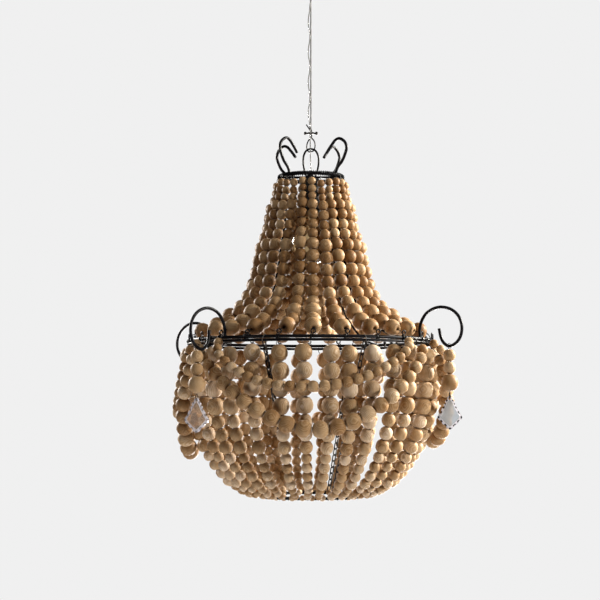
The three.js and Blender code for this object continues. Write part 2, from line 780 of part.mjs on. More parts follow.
for (const z of [-ferruleTop + cableWire / 2, ferruleEndZ - cableWire / 2]) {
  cablePoints.push(new THREE.Vector3(-besideCable, 0, z));
}
addSteel("cable", wire(cablePoints, cableWire, cableSides));

// Ferrule that closes the upper eye
const ferruleBore = besideCable + cableWire / 2 + fit;
addSteel("cable_ferrule", turned([
  [ferruleBore, ferruleEndZ], [ferruleRadius, ferruleEndZ],
  [ferruleRadius, -ferruleTop], [ferruleBore, -ferruleTop], [ferruleBore, ferruleEndZ],
]));

// Clamp: a block slotted for the cable's two runs, with an arm and a knob on each side
const clampBlock = solid(new THREE.BoxGeometry(clampWidth, clampDepth, clampHeight));
const clampArm = solid(new THREE.BoxGeometry(clampSpan, clampArmThick, clampArmThick));
const slotSize = [2 * ferruleBore, cableWire + 2 * fit, 2 * clampHeight];
const slot = new THREE.BoxGeometry(...slotSize);
slot.rotateZ(THREE.MathUtils.degToRad(-eyeTurnAngle));
let clampSolid = clampBlock.add(clampArm);
for (const sign of [-1, 1]) {
  const knob = new THREE.OctahedronGeometry(clampKnob / 2);
  knob.translate((sign * (clampSpan - clampKnob)) / 2, 0, 0);
  clampSolid = clampSolid.add(solid(knob));
}
const clamp = addSteel("cable_clamp", geometryOf(clampSolid.subtract(solid(slot))));
clamp.position.z = clampZ;

// Flex: from the rose's outlet, in waves down the cable, past the clamp, and cut at the bail
const outletZ = hookZ - fit;
const flexTopZ = outletZ - flexCut / 2;
const flexPoints = [
  new THREE.Vector3(0, outletOffset, flexTopZ),
  new THREE.Vector3(0, outletOffset, flexTopZ - flexWire),
  new THREE.Vector3(0, -ferruleRadius - flexWire, -ferruleTop),
  new THREE.Vector3(0, -ferruleRadius - flexWire, ferruleEndZ),
];
for (let k = 0; k <= waveCount * waveSteps; k += 1) {
  const sway = Math.cos((2 * Math.PI * k) / waveSteps);
  flexPoints.push(new THREE.Vector3(
    -flexBeside[0] + flexSway[0] * sway,
    -flexBeside[1] - flexSway[1] * sway,
    -waveTop - (wavePitch * k) / waveSteps,
  ));
}
const [passX, passY] = flexPass;
const cutZ = bailZ + flexCut / 2;
for (const [y, z] of [
  [-flexFront, clampZ + clampHeight], [-flexFront, clampZ - clampHeight],
  [passY, bailZ + tailUp], [passY, cutZ + flexWire], [passY, cutZ],
]) {
  flexPoints.push(new THREE.Vector3(passX, y, z));
}
add("flex", wire(flexPoints, flexWire, flexSides), 0xb9b7ae, 0.3, 0);
const flexEndZ = nutZ + nutHeight + fit;
const lowerFlex = wire(
  [
    new THREE.Vector3(passX, passY, cutZ - flexCut),
    new THREE.Vector3(passX, passY, cutZ - flexCut - flexWire),
    new THREE.Vector3(0, 0, flexEndZ + flexWire),
    new THREE.Vector3(0, 0, flexEndZ),
  ],
  flexWire, flexSides,
);
add("flex_lower", lowerFlex, 0xb9b7ae, 0.3, 0);

// Ceiling hook, hung from the rose's top plate, with the cable's eye over its bend
const hookTopZ = -roseWall - fit;
const hookShares = [
  [0, 0.5], [0.75, 0.68], [1, 0.82], [0.72, 0.945], [0, 1], [-0.72, 0.945], [-1, 0.82],
];
const hookPoints = [new THREE.Vector3(0, 0, hookTopZ)];
for (const [y, fall] of hookShares) {
  hookPoints.push(new THREE.Vector3(0, y * hookBend, THREE.MathUtils.lerp(hookTopZ, hookZ, fall)));
}
hookPoints.push(new THREE.Vector3(0, -hookBend, hookZ + hookTipRise));
addIron("ceiling_hook", wire(hookPoints, hookWire, cableSides));

// Ceiling rose: a shallow pot with a closed top, a mouth for the hook, and the flex's outlet
const roseShares = [[1, 0.4], [0.86, 0.78], [0.56, 0.95]];
const outside = roseShares.map(([r, fall]) => [r * roseRadius, -fall * roseDepth]);
const inside = roseShares.map(([r, fall]) => [
  r * roseRadius - roseWall, -fall * roseDepth + roseWall / 2,
]);
const rosePot = turned([
  [0, -roseWall], [roseRadius - roseWall, -roseWall], ...inside,
  [roseMouth, -roseDepth + roseWall], [roseMouth, -roseDepth], ...outside.reverse(),
  [roseRadius, 0], [0, 0],
], roseSides);
const outletTopZ = -roseDepth + roseWall;
const outlet = new THREE.CylinderGeometry(
  outletRadius, outletRadius, outletTopZ - outletZ, roundSides,
);
outlet.rotateX(Math.PI / 2);
outlet.translate(0, outletOffset, (outletTopZ + outletZ) / 2);
add("ceiling_rose", geometryOf(solid(rosePot).add(solid(outlet))), 0x1f1c1a, 0.5, 0.6);

export default chandelier;
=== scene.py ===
# %% [markdown]
# # A beaded chandelier
# A wire frame hangs on a steel cable. Strings of turned wooden beads run from the small top ring
# to the wide main ring, and from there in to the bottom ring. Two rows of swags drape over the
# lower strings, and four scrolls each carry a short drop with a cut crystal.
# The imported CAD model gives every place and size. This script dresses it: each plain solid is
# replaced by a piece with its real roundness, its small parts and its finish.

# %% The frame
import math
import random

import bmesh
import bpy
from mathutils import Matrix, Vector


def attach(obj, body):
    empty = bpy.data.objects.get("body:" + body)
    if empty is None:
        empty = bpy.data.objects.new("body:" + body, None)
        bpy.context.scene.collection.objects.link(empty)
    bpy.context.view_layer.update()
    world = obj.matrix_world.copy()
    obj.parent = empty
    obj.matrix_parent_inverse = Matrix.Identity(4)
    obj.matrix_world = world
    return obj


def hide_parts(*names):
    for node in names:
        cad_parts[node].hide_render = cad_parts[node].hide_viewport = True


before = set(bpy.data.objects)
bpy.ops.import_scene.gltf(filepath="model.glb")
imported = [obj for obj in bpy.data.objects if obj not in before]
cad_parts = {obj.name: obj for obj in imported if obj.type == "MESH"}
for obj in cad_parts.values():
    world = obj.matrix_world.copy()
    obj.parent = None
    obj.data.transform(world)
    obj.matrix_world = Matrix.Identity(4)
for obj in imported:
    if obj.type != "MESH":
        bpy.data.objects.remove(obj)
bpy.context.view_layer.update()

# %% [markdown]
# ## Objects and nodes
# Every step adds objects to the scene or nodes to a tree, so these few helpers come first.

# %% Objects and nodes
def add_object(name, data):
    """Puts data into the scene as an object at the origin."""
    made = bpy.data.objects.new(name, data)
    bpy.context.collection.objects.link(made)
    return made


def mesh_from(made, name, material=None):
    """Ends an edited mesh as mesh data, with its material if it has one."""
    mesh = bpy.data.meshes.new(name)
    made.to_mesh(mesh)
    made.free()
    if material:
        mesh.materials.append(material)
    return mesh


def fill(tree, node, inputs):
    """Fills a node's inputs, given by name or number, with sockets or plain values."""
    for key, value in inputs.items():
        if isinstance(value, bpy.types.NodeSocket):
            tree.links.new(value, node.inputs[key])
        else:
            node.inputs[key].default_value = value


def add_node(tree, kind, inputs=None, **properties):
    """Adds a node, sets its properties and fills its inputs."""
    node = tree.nodes.new(kind)
    for key, value in properties.items():
        setattr(node, key, value)
    fill(tree, node, inputs or {})
    return node


print("object and node helpers ready")

# %% [markdown]
# ## Camera
# The photograph was taken from a little above the main ring's height with a long lens, so the
# rings look like thin ellipses. A 90 mm lens 2.25 m away gives the same flattening. The camera
# tips up by four degrees, because the fitting hangs high in the picture, and turns a little to
# the left, because it hangs right of the middle.

# %% Camera
CAMERA_PLACE = (0, -2.25, -0.69)
CAMERA_TIP = 94
CAMERA_TURN = 0.42
LENS_MM = 90

lens = bpy.data.cameras.new("camera")
lens.lens = LENS_MM
camera = add_object("camera", lens)
camera.location = CAMERA_PLACE
camera.rotation_euler = (math.radians(CAMERA_TIP), 0, math.radians(CAMERA_TURN))
bpy.context.scene.camera = camera
print("camera at", CAMERA_PLACE, "with a lens of", LENS_MM, "mm")

# %% [markdown]
# ## Background and light
# The picture has a plain pale ground. The world shows that colour to the camera, also through
# glass, and otherwise gives a very weak, even light. The beads are bright along their right
# edges and shaded at the left, so the key lamp and the side lamp stand to the right. A lamp high
# in front lifts the shadows, one at the left is faint and cool, and two behind light the far
# strings through the gaps. The last one lights the undersides from the floor.

# %% Background and light
GROUND_COLOUR = (0.871, 0.871, 0.871, 1)
AMBIENT_COLOUR = (1, 0.985, 0.97, 1)
AMBIENT_STRENGTH = 0.015
BODY_MIDDLE = Vector((0, 0, -0.6))
# Each lamp's place and width in metres, its power in watts and its colour
LAMPS = {
    "key_lamp": ((2.4, 0.95, 0.4), 0.35, 365, (1, 0.955, 0.87)),
    "side_lamp": ((2.6, -1.1, -0.1), 0.3, 88, (1, 0.965, 0.89)),
    "front_lamp": ((0.7, -1.5, 2.0), 0.25, 32, (1, 0.985, 0.94)),
    "left_lamp": ((-2.4, -1.5, -0.8), 0.5, 15, (0.97, 0.975, 1)),
    "back_lamp": ((-1.9, 2.0, 0.1), 1.0, 130, (1, 0.955, 0.9)),
    "low_lamp": ((0.5, 2.4, -1.4), 1.6, 160, (1, 0.955, 0.92)),
    "floor_lamp": ((-0.2, -0.5, -2.1), 1.4, 12, (1, 0.98, 0.97)),
}


def build_world():
    world = bpy.data.worlds.new("studio")
    bpy.context.scene.world = world
    world.use_nodes = True
    tree = world.node_tree
    tree.nodes.clear()
    ray = add_node(tree, "ShaderNodeLightPath").outputs
    seen = add_node(
        tree, "ShaderNodeMath", {0: ray["Is Camera Ray"], 1: ray["Is Transmission Ray"]},
        operation="MAXIMUM",
    )
    ambient = add_node(
        tree, "ShaderNodeBackground", {"Color": AMBIENT_COLOUR, "Strength": AMBIENT_STRENGTH}
    )
    ground = add_node(tree, "ShaderNodeBackground", {"Color": GROUND_COLOUR})
    shaders = {0: seen.outputs[0], 1: ambient.outputs[0], 2: ground.outputs[0]}
    mix = add_node(tree, "ShaderNodeMixShader", shaders)
    add_node(tree, "ShaderNodeOutputWorld", {"Surface": mix.outputs[0]})


def add_lamp(name, spot, width, power, colour):
    """A round lamp that looks at the body's middle and isn't seen itself."""
    light = bpy.data.lights.new(name, "AREA")
    light.shape = "DISK"
    light.size, light.energy, light.color = width, power, colour
    lamp = add_object(name, light)
    lamp.location = spot
    lamp.rotation_mode = "QUATERNION"
    lamp.rotation_quaternion = (BODY_MIDDLE - lamp.location).to_track_quat("-Z", "Y")
    lamp.visible_camera = lamp.visible_transmission = False


build_world()
for name, values in LAMPS.items():
    add_lamp(name, *values)
bpy.context.scene.view_settings.view_transform = "Standard"
print("world and", len(LAMPS), "lamps ready")

# %% [markdown]
# ## Sizes
# These are the frame's own sizes, in millimetres, as the CAD source has them. Heights are below
# the ceiling, and compass angles are in degrees about the vertical: 0 faces the viewer and 90 is
# to the viewer's right. Everything below is placed from them.

# %% Sizes
MM = 0.001
TURN = 360
TOP_RING = {"radius": 47, "height": -347, "wire": 4.5}
MAIN_RING = {"radius": 183, "height": -595, "wire": 4.2}
STRAND_RING = {"radius": 183, "height": -599.8, "wire": 2.8}
BOTTOM_RING = {"radius": 75, "height": -825, "wire": 4}
THREAD = 1
FIT = 0.3
UPPER_BEADS = [12] * 3 + [16] * 4 + [20] * 6 + [25] * 3
LOWER_BEADS = [25] * 4 + [20] * 3 + [16] * 4 + [12] * 3
DROP_BEADS = [18, 18, 25]
UPPER_STRANDS = {"count": 24, "groups": 4, "start": -29}
LOWER_STRANDS = {"count": 32, "groups": 8, "start": -15.25}
SIDES = ("front_left", "front_right", "back_right", "back_left")
SECTORS = ("front", "right", "back", "left")


def lerp(a, b, share):
    return a + (b - a) * share


def place(radius, angle, height):
    """The point at a radius, a compass angle and a height, in millimetres, as metres."""
    a = math.radians(angle)
    return Vector((radius * math.sin(a), -radius * math.cos(a), height)) * MM


def by_ring(ring, angle, out=0, up=0):
    """The point that far out from a ring's centre line and above it, at a compass angle."""
    return place(ring["radius"] + out, angle, ring["height"] + up)


def upright(pairs, side=1):
    """Points from (across, height) pairs in millimetres, in the plane that faces the viewer."""
    return [Vector((side * x, 0, z)) * MM for x, z in pairs]


def circled(steps):
    """The angles of a circle's even steps, in radians."""
    return [2 * math.pi * k / steps for k in range(steps)]


print(len(UPPER_BEADS) * UPPER_STRANDS["count"], "beads above the main ring")
print(len(LOWER_BEADS) * LOWER_STRANDS["count"], "beads below it")

# %% [markdown]
# ## A smooth line through points
# Threads, wires and scrolls are all drawn as smooth lines through a few points. This is the same
# kind of line that the CAD source uses, a centripetal Catmull-Rom curve, so the beads land in
# the very places of their solids. Points along it are found by its length, because beads are
# spaced by length.

# %% Smooth lines
LINE_STEPS = 200
STEPS_PER_POINT = 24
TINY = 1e-9


def smooth_point(points, t):
    """The point at parameter t, from 0 to 1, on the smooth line through points."""
    spans = len(points) - 1
    position = min(t, 1) * spans
    k = min(int(position), spans - 1)
    weight = position - k
    p1, p2 = points[k], points[k + 1]
    p0 = points[k - 1] if k > 0 else 2 * p1 - p2
    p3 = points[k + 2] if k + 2 <= spans else 2 * p2 - p1
    d0, d1, d2 = (max((b - a).length ** 0.5, TINY) for a, b in ((p0, p1), (p1, p2), (p2, p3)))
    leave = ((p1 - p0) / d0 - (p2 - p0) / (d0 + d1) + (p2 - p1) / d1) * d1
    reach = ((p2 - p1) / d1 - (p3 - p1) / (d1 + d2) + (p3 - p2) / d2) * d1
    w2, w3 = weight * weight, weight**3
    return (
        p1 * (2 * w3 - 3 * w2 + 1)
        + leave * (w3 - 2 * w2 + weight)
        + p2 * (3 * w2 - 2 * w3)
        + reach * (w3 - w2)
    )


def measured(points, steps=LINE_STEPS):
    """The smooth line as closely spaced points, with the length reached at each."""
    line = [smooth_point(points, k / steps) for k in range(steps + 1)]
    reached = [0]
    for a, b in zip(line, line[1:]):
        reached.append(reached[-1] + (b - a).length)
    return line, reached


def at_length(line, reached, length):
    """The point that far along a measured line."""
    length = min(max(length, 0), reached[-1])
    k = next((i for i, r in enumerate(reached) if r >= length), len(reached) - 1)
    if k == 0:
        return line[0].copy()
    share = (length - reached[k - 1]) / max(reached[k] - reached[k - 1], TINY)
    return line[k - 1].lerp(line[k], share)


def smoothed(points, spacing):
    """Points at an even spacing in millimetres along the smooth line through points."""
    line, reached = measured(points, max(LINE_STEPS, STEPS_PER_POINT * len(points)))
    count = max(2, round(reached[-1] / (spacing * MM)))
    return [at_length(line, reached, reached[-1] * k / count) for k in range(count + 1)]


print("smooth lines ready")

# %% [markdown]
# ## The strings' outlines
# Seen from the side, a string leaves the top ring steeply, curves out like a bell and runs
# almost level to the main ring. The lower string hangs straight and then bows in to the bottom
# ring. Both are a few shares of the way out and down.

# %% Outlines
UPPER_SHARES = [
    (0.03, 0.019), (0.059, 0.125), (0.114, 0.214), (0.143, 0.315), (0.202, 0.415),
    (0.243, 0.516), (0.298, 0.649), (0.368, 0.738), (0.463, 0.806), (0.581, 0.859),
    (0.702, 0.907), (0.853, 0.94), (0.956, 0.96),
]
LOWER_SHARES = [
    (0.0, 0.043), (-0.014, 0.1), (-0.014, 0.239), (0.023, 0.413), (0.102, 0.565),
    (0.227, 0.704), (0.389, 0.822), (0.56, 0.909), (0.741, 0.965), (0.917, 0.991),
]


def between(shares, upper, lower):
    """Shares of the way out and down from one ring to another, as radius and height."""
    return [
        (
            lerp(upper["radius"], lower["radius"], out),
            lerp(upper["height"], lower["height"], down),
        )
        for out, down in shares
    ]


def beads_on(points, sizes, slack=(0, 0)):
    """Where the beads of these sizes sit on the smooth line: place, direction, size, pitch."""
    line, reached = measured(points)
    pitch = (reached[-1] - sum(slack) * MM) / sum(sizes)
    beads, passed = [], slack[0] * MM / pitch
    for size in sizes:
        start, end = passed * pitch, (passed + size) * pitch
        a, b = at_length(line, reached, start), at_length(line, reached, end)
        middle = at_length(line, reached, (start + end) / 2)
        beads.append((middle, (b - a).normalized(), size, size * pitch / MM))
        passed += size
    return beads


def string_at(shares, upper, lower, angle):
    """One string's points in the vertical plane at a compass angle."""
    return [place(r, angle, z) for r, z in between(shares, upper, lower)]


def angles_of(strands):
    pitch = TURN / strands["count"]
    return [strands["start"] + k * pitch for k in range(strands["count"])]


print("outlines ready")

# %% [markdown]
# ## Strings as they hang
# No string hangs quite as drawn. Each one stands aside of its own line by an angle at its top
# and one at its lower end, chosen so that the gaps between the strings fall where the photograph
# shows them. It also sways and sags a little, its beads differ in size by a few hundredths, and
# slack lets them slide up or down. Those chances come from one seeded list, so every run hangs
# the same.

# %% Loose strings
SWAY = 0.9
SAG = 1.6
HELD_ENDS = 5
UPPER_SLACK = 7
LOWER_SLACK = 5
SIZE_CHANGE = 0.05
TILT = 0.09
STRING_SEEDS = (5, 8)
# For each string, by its compass angle: how many degrees aside its top and lower end stand
UPPER_DRIFT = {
    -14: (2, 3), 1: (1.5, -0.5), 16: (2.5, -1), 31: (-1.5, 0), 46: (-0.5, 0), 61: (0, -1.5),
    76: (-2, -3), 91: (3, 2.5), 121: (1, 6), 136: (1, 5.5), 151: (1.4, 5), 166: (3.1, 6),
    181: (3, 6.5), 196: (2.2, 0), 211: (-4, -6), 226: (-3.5, -5), 241: (0, -2.5), 256: (4, 4),
    271: (1, 2), 286: (0, -1.5), 316: (0.5, 0),
}
LOWER_DRIFT = {
    -15: (2.5, 2.5), -4: (1, 2.5), 7: (2.5, -1), 18: (-2.5, 1.5), 30: (-2.5, -2), 41: (-2, -2.5),
    52: (-2.5, -2.5), 64: (0.5, 0.5), 75: (1, 1.5), 86: (-2, 0), 108: (2.5, 3), 120: (-3.5, -2),
    131: (-0.5, -1.5), 142: (3.5, 5), 154: (0, -1.5), 165: (-1.5, -5), 176: (-3, 0),
    187: (-2.5, 3.5), 198: (1, 2), 210: (-5, -4), 221: (-4.5, -0.5), 232: (-1.5, 0),
    244: (-1.5, -1.5), 255: (-1.5, 0), 266: (0.5, 1), 277: (1, 1.5), 288: (0, 0.5), 300: (0.5, 0),
    311: (0, 0.5), 322: (-1, 0), 334: (1, 0),
}


def hung_string(shares, ends, angle, sizes, slack, drift, chance):
    """One string's points and beads, with its own sway, slack and uneven beads."""
    sway = chance.uniform(-SWAY, SWAY)
    outline = between(shares, *ends)
    points = []
    for k, (radius, height) in enumerate(outline):
        share = k / (len(outline) - 1)
        free = math.sin(math.pi / 2 * min(1, HELD_ENDS * share, HELD_ENDS * (1 - share)))
        inward = chance.uniform(0, SAG) * free
        aside = (sway + lerp(*drift, share)) * free
        points.append(place(radius - inward, angle + aside, height))
    before = chance.uniform(0, slack)
    own = [size * chance.uniform(1 - SIZE_CHANGE, 1 + SIZE_CHANGE / 2) for size in sizes]
    beads = []
    for middle, direction, size, pitch in beads_on(points, own, (before, slack - before)):
        lean = Vector([chance.uniform(-TILT, TILT) for _ in range(3)])
        beads.append((middle, (direction + lean).normalized(), size, pitch))
    return points, beads


def hang_strings(strands, shares, ends, sizes, slack, drifts, seed):
    """All strings of a row: each one's angle and points, and the beads of all of them."""
    chance = random.Random(seed)
    lines, beads = [], []
    for angle in angles_of(strands):
        drift = drifts.get(round(angle), (0, 0))
        points, own = hung_string(shares, ends, angle, sizes, slack, drift, chance)
        lines.append((angle, points))
        beads += own
    return lines, beads


upper_runs, upper_beads = hang_strings(
    UPPER_STRANDS, UPPER_SHARES, (TOP_RING, MAIN_RING), UPPER_BEADS, UPPER_SLACK,
    UPPER_DRIFT, STRING_SEEDS[0],
)
lower_runs, lower_beads = hang_strings(
    LOWER_STRANDS, LOWER_SHARES, (MAIN_RING, BOTTOM_RING), LOWER_BEADS, LOWER_SLACK,
    LOWER_DRIFT, STRING_SEEDS[1],
)
print("bead pitch to size:", round(upper_beads[0][3] / upper_beads[0][2], 3))

# %% [markdown]
# ## Shared surface effects
# Two effects are used by several finishes, so each is a node group with named inputs and
# outputs. The first is the unevenness of a handled or painted surface: a soft mottling and a
# finer speckle. The second is wood grain: growth rings about a line beside the piece, drawn out
# along it, with fine pores. Both put out masks and heights only, and the shader stays in the
# material.

# %% Group helpers
def new_group(name, inputs, outputs, kind="ShaderNodeTree"):
    """A node group with named sockets: gives it, its input sockets and its output node."""
    group = bpy.data.node_groups.new(name, kind)
    for label, (form, default) in inputs.items():
        socket = group.interface.new_socket(
            label, in_out="INPUT", socket_type=f"NodeSocket{form}"
        )
        if default is not None:
            socket.default_value = default
    for label in outputs:
        form = "Geometry" if label == "Geometry" else "Float"
        group.interface.new_socket(label, in_out="OUTPUT", socket_type=f"NodeSocket{form}")
    return group, add_node(group, "NodeGroupInput").outputs, add_node(group, "NodeGroupOutput")


def math_node(tree, operation, *values):
    """A Math node whose inputs are numbers or sockets; gives its output socket."""
    inputs = dict(enumerate(values))
    return add_node(tree, "ShaderNodeMath", inputs, operation=operation).outputs[0]


def vector_math(tree, operation, a, b):
    inputs = {0: a, "Scale" if operation == "SCALE" else 1: b}
    return add_node(tree, "ShaderNodeVectorMath", inputs, operation=operation).outputs[0]


def noise_node(tree, vector, scale, detail, roughness):
    """A Noise Texture's value at a vector, with its scale a number or a socket."""
    inputs = {"Vector": vector, "Scale": scale, "Detail": detail, "Roughness": roughness}
    return add_node(tree, "ShaderNodeTexNoise", inputs).outputs[0]


print("group helpers ready")

# %% Handled surface group
def build_handled_surface():
    inputs = {
        "Vector": ("Vector", None), "Mottle Scale": ("Float", 60.0),
        "Speckle Scale": ("Float", 900.0),
    }
    group, ins, out = new_group("handled surface", inputs, ("Mottle", "Speckle"))
    mottle = noise_node(group, ins["Vector"], ins["Mottle Scale"], 3, 0.55)
    speckle = noise_node(group, ins["Vector"], ins["Speckle Scale"], 2, 0.6)
    fill(group, out, {"Mottle": mottle, "Speckle": speckle})
    return group


handled_surface = build_handled_surface()
print("group:", handled_surface.name)

# %% Wood grain group
# Each noise's stretch along the grain, then its scale where that is fixed
WAVE_STRETCH, WAVE_SCALE = (1, 1, 0.25), 90
PORE_STRETCH = (1, 1, 0.08)
CLOUD_SCALE = 110
WAVE_DEPTH = 4


def build_wood_grain():
    inputs = {
        "Vector": ("Vector", None), "Ring Spacing": ("Float", 0.0016),
        "Waviness": ("Float", 0.0011), "Pore Scale": ("Float", 2600.0),
    }
    group, ins, out = new_group("wood grain", inputs, ("Rings", "Pores", "Cloud"))
    vector = ins["Vector"]
    long = vector_math(group, "MULTIPLY", vector, WAVE_STRETCH)
    slow = noise_node(group, long, WAVE_SCALE, 2, 0.5)
    split = add_node(group, "ShaderNodeSeparateXYZ", {0: vector}).outputs
    squares = [math_node(group, "MULTIPLY", split[k], split[k]) for k in (0, 1)]
    away = math_node(group, "SQRT", math_node(group, "ADD", *squares))
    shift = math_node(group, "MULTIPLY", slow, ins["Waviness"])
    bent = math_node(group, "ADD", away, math_node(group, "MULTIPLY", shift, WAVE_DEPTH))
    turns = math_node(group, "DIVIDE", bent, ins["Ring Spacing"])
    wave = math_node(group, "SINE", math_node(group, "MULTIPLY", turns, 2 * math.pi))
    fine = vector_math(group, "MULTIPLY", vector, PORE_STRETCH)
    fill(group, out, {
        "Rings": math_node(group, "MULTIPLY_ADD", wave, 0.5, 0.5),
        "Pores": noise_node(group, fine, ins["Pore Scale"], 3, 0.65),
        "Cloud": noise_node(group, vector, CLOUD_SCALE, 3, 0.5),
    })
    return group


wood_grain = build_wood_grain()
print("group:", wood_grain.name)

# %% [markdown]
# ## Finishes
# The beads are bare turned wood, a warm tan that differs a little from bead to bead. Each row is
# also painted darker or paler for the light it gets: the upper strings are darker, as painted
# shade, the lower ones paler, as painted light, and each bead is painted darker towards its ends
# as shade where it meets the next one. The frame's wire is painted near black with a satin
# sheen. The cable and the chains are darkened steel, the jump rings dull steel. The crystals are
# slightly milky cut glass, and the flex beside the cable is pale and half clear.

# %% Material helpers
def new_material(name):
    """A material: gives it, its node tree and its shader."""
    material = bpy.data.materials.new(name)
    material.use_nodes = True
    tree = material.node_tree
    return material, tree, tree.nodes["Principled BSDF"]


def attribute(tree, name, output="Fac"):
    return add_node(tree, "ShaderNodeAttribute", attribute_name=name).outputs[output]


def handled(tree, **scales):
    """The handled surface's masks on a piece, with its scales named by their first word."""
    inputs = {f"{key} Scale": value for key, value in scales.items()}
    inputs["Vector"] = add_node(tree, "ShaderNodeTexCoord").outputs["Object"]
    return add_node(tree, "ShaderNodeGroup", inputs, node_tree=handled_surface).outputs


def ramp_node(tree, factor, stops):
    """A colour ramp from (place, colour) stops, driven by a factor."""
    node = add_node(tree, "ShaderNodeValToRGB", {0: factor})
    ramp = node.color_ramp
    while len(ramp.elements) < len(stops):
        ramp.elements.new(0.5)
    for element, (position, colour) in zip(ramp.elements, stops):
        element.position = position
        element.color = (*colour, 1)
    return node.outputs[0]


def two_shades(tree, mask, low, high):
    return ramp_node(tree, mask, [(0.3, low), (0.7, high)])


def mix_node(tree, blend, factor, a, b):
    """Mixes two colours, each a socket or three numbers, by a factor."""
    a, b = (c if isinstance(c, bpy.types.NodeSocket) else (*c, 1) for c in (a, b))
    inputs = {0: factor, 6: a, 7: b}
    node = add_node(tree, "ShaderNodeMix", inputs, data_type="RGBA", blend_type=blend)
    return node.outputs[2]


def bump(tree, shader, height, strength, distance):
    """Makes a shader's surface uneven by a height."""
    inputs = {"Height": height, "Strength": strength, "Distance": distance}
    fill(tree, shader, {"Normal": add_node(tree, "ShaderNodeBump", inputs).outputs[0]})


print("material helpers ready")

# %% Bare turned wood
WOOD_SHADES = [
    (0.0, (0.077, 0.03, 0.011)),
    (0.35, (0.218, 0.113, 0.042)),
    (0.7, (0.388, 0.256, 0.136)),
    (1.0, (0.59, 0.46, 0.34)),
]
PORE_SHADES = [(0.28, (0.62, 0.52, 0.42)), (0.47, (1, 1, 1))]
# Painted shade: each bead's wood turns darker towards its ends, where it meets the next bead and
# round its hole
PAINTED_END_SHADE = [(0.84, (1, 1, 1)), (0.93, (0.72, 0.62, 0.55)), (1.0, (0.28, 0.19, 0.13))]
# How much the rings, the clouds and the bead's own shade say in its tone, and the least tone
TONE = {"Rings": 0.2, "Cloud": 0.42, "own": 0.42, "least": 0.1}
PORE_DEPTH = 0.6
PORE_BUMPS = (0.25, 0.0003)
WOOD_ROUGHNESS = (0.25, 0.42)
WOOD_SHEEN = {
    "Specular IOR Level": 0.15, "Sheen Weight": 0.22, "Sheen Roughness": 0.16,
    "Sheen Tint": (1, 0.86, 0.72, 1),
}


def build_turned_wood():
    """Each bead brings its place in the wood, its shade with its row's painted light level added,
    and the mask for the painted shade at its ends, as attributes.
    """
    material, tree, shader = new_material("bare turned wood")
    inputs = {"Vector": attribute(tree, "grain_place", "Vector")}
    grain = add_node(tree, "ShaderNodeGroup", inputs, node_tree=wood_grain).outputs
    streaks, clouds = (
        math_node(tree, "MULTIPLY", grain[mask], TONE[mask]) for mask in ("Rings", "Cloud")
    )
    own = math_node(
        tree, "MULTIPLY_ADD", attribute(tree, "bead_shade"), TONE["own"], TONE["least"]
    )
    tone = math_node(tree, "ADD", math_node(tree, "ADD", streaks, clouds), own)
    colour = ramp_node(tree, tone, WOOD_SHADES)
    pores = ramp_node(tree, grain["Pores"], PORE_SHADES)
    colour = mix_node(tree, "MULTIPLY", PORE_DEPTH, colour, pores)
    # Painted shade where the beads meet and round their holes
    ends = ramp_node(tree, attribute(tree, "bead_end"), PAINTED_END_SHADE)
    colour = mix_node(tree, "MULTIPLY", 1.0, colour, ends)
    rough = math_node(tree, "MULTIPLY_ADD", grain["Pores"], *WOOD_ROUGHNESS)
    fill(tree, shader, {"Base Color": colour, "Roughness": rough, **WOOD_SHEEN})
    bump(tree, shader, grain["Pores"], *PORE_BUMPS)
    return material


turned_wood = build_turned_wood()
print("finish:", turned_wood.name)

# %% Paint, steel and clear plastic
# For each kind: its bumps' strength and depth, the shader's other values, the mask that its
# roughness follows, and the scales of its surface where they aren't the usual ones
KINDS = {
    "paint": ((0.2, 0.0002), {"Specular IOR Level": 0.08}, "Mottle", {}),
    "steel": ((0.15, 0.0001), {"Metallic": 1.0}, "Speckle", {"Mottle": 150.0}),
    "clear": ((0.05, 0.0001), {"IOR": 1.4}, "Mottle", {"Mottle": 120.0, "Speckle": 1400.0}),
}


def build_finish(kind, name, low, high, rough, **values):
    """A finish of a kind in two shades, with its roughness's spread and least."""
    bumps, usual, follows, scales = KINDS[kind]
    material, tree, shader = new_material(name)
    surface = handled(tree, **scales)
    values = {key.replace("_", " "): value for key, value in values.items()}
    fill(tree, shader, {
        "Base Color": two_shades(tree, surface["Mottle"], low, high),
        "Roughness": math_node(tree, "MULTIPLY_ADD", surface[follows], *rough),
        **usual, **values,
    })
    bump(tree, shader, surface["Speckle"], *bumps)
    return material


dark_wire = build_finish(
    "paint", "dark painted wire", (0.004, 0.004, 0.005), (0.009, 0.008, 0.01), (0.2, 0.26)
)
rose_paint = build_finish(
    "paint", "dark painted metal", (0.013, 0.011, 0.01), (0.028, 0.024, 0.022), (0.2, 0.3)
)
holder_plastic = build_finish(
    "paint", "matt dark plastic", (0.02, 0.019, 0.018), (0.03, 0.028, 0.026), (0.2, 0.5)
)
dull_steel = build_finish(
    "steel", "dull steel", (0.07, 0.069, 0.067), (0.2, 0.195, 0.185), (0.3, 0.3)
)
dark_steel = build_finish(
    "steel", "darkened steel", (0.012, 0.011, 0.011), (0.06, 0.057, 0.055), (0.3, 0.3)
)
clear_flex = build_finish(
    "clear", "clear flex", (0.658, 0.6486, 0.6298), (0.7, 0.69, 0.67), (0.04, 0.1),
    Transmission_Weight=0.9,
)
# The bulb's dark amber tint is painted shade, so that it reads as the dark gaps between the strings
bulb_glass = build_finish(
    "clear", "shade tinted bulb glass", (0.3384, 0.235, 0.1222), (0.36, 0.25, 0.13), (0.04, 0.06),
    Transmission_Weight=1.0,
)
finishes = (
    dark_wire, rose_paint, holder_plastic, dull_steel, dark_steel, clear_flex, bulb_glass
)
print("finishes:", [m.name for m in finishes])

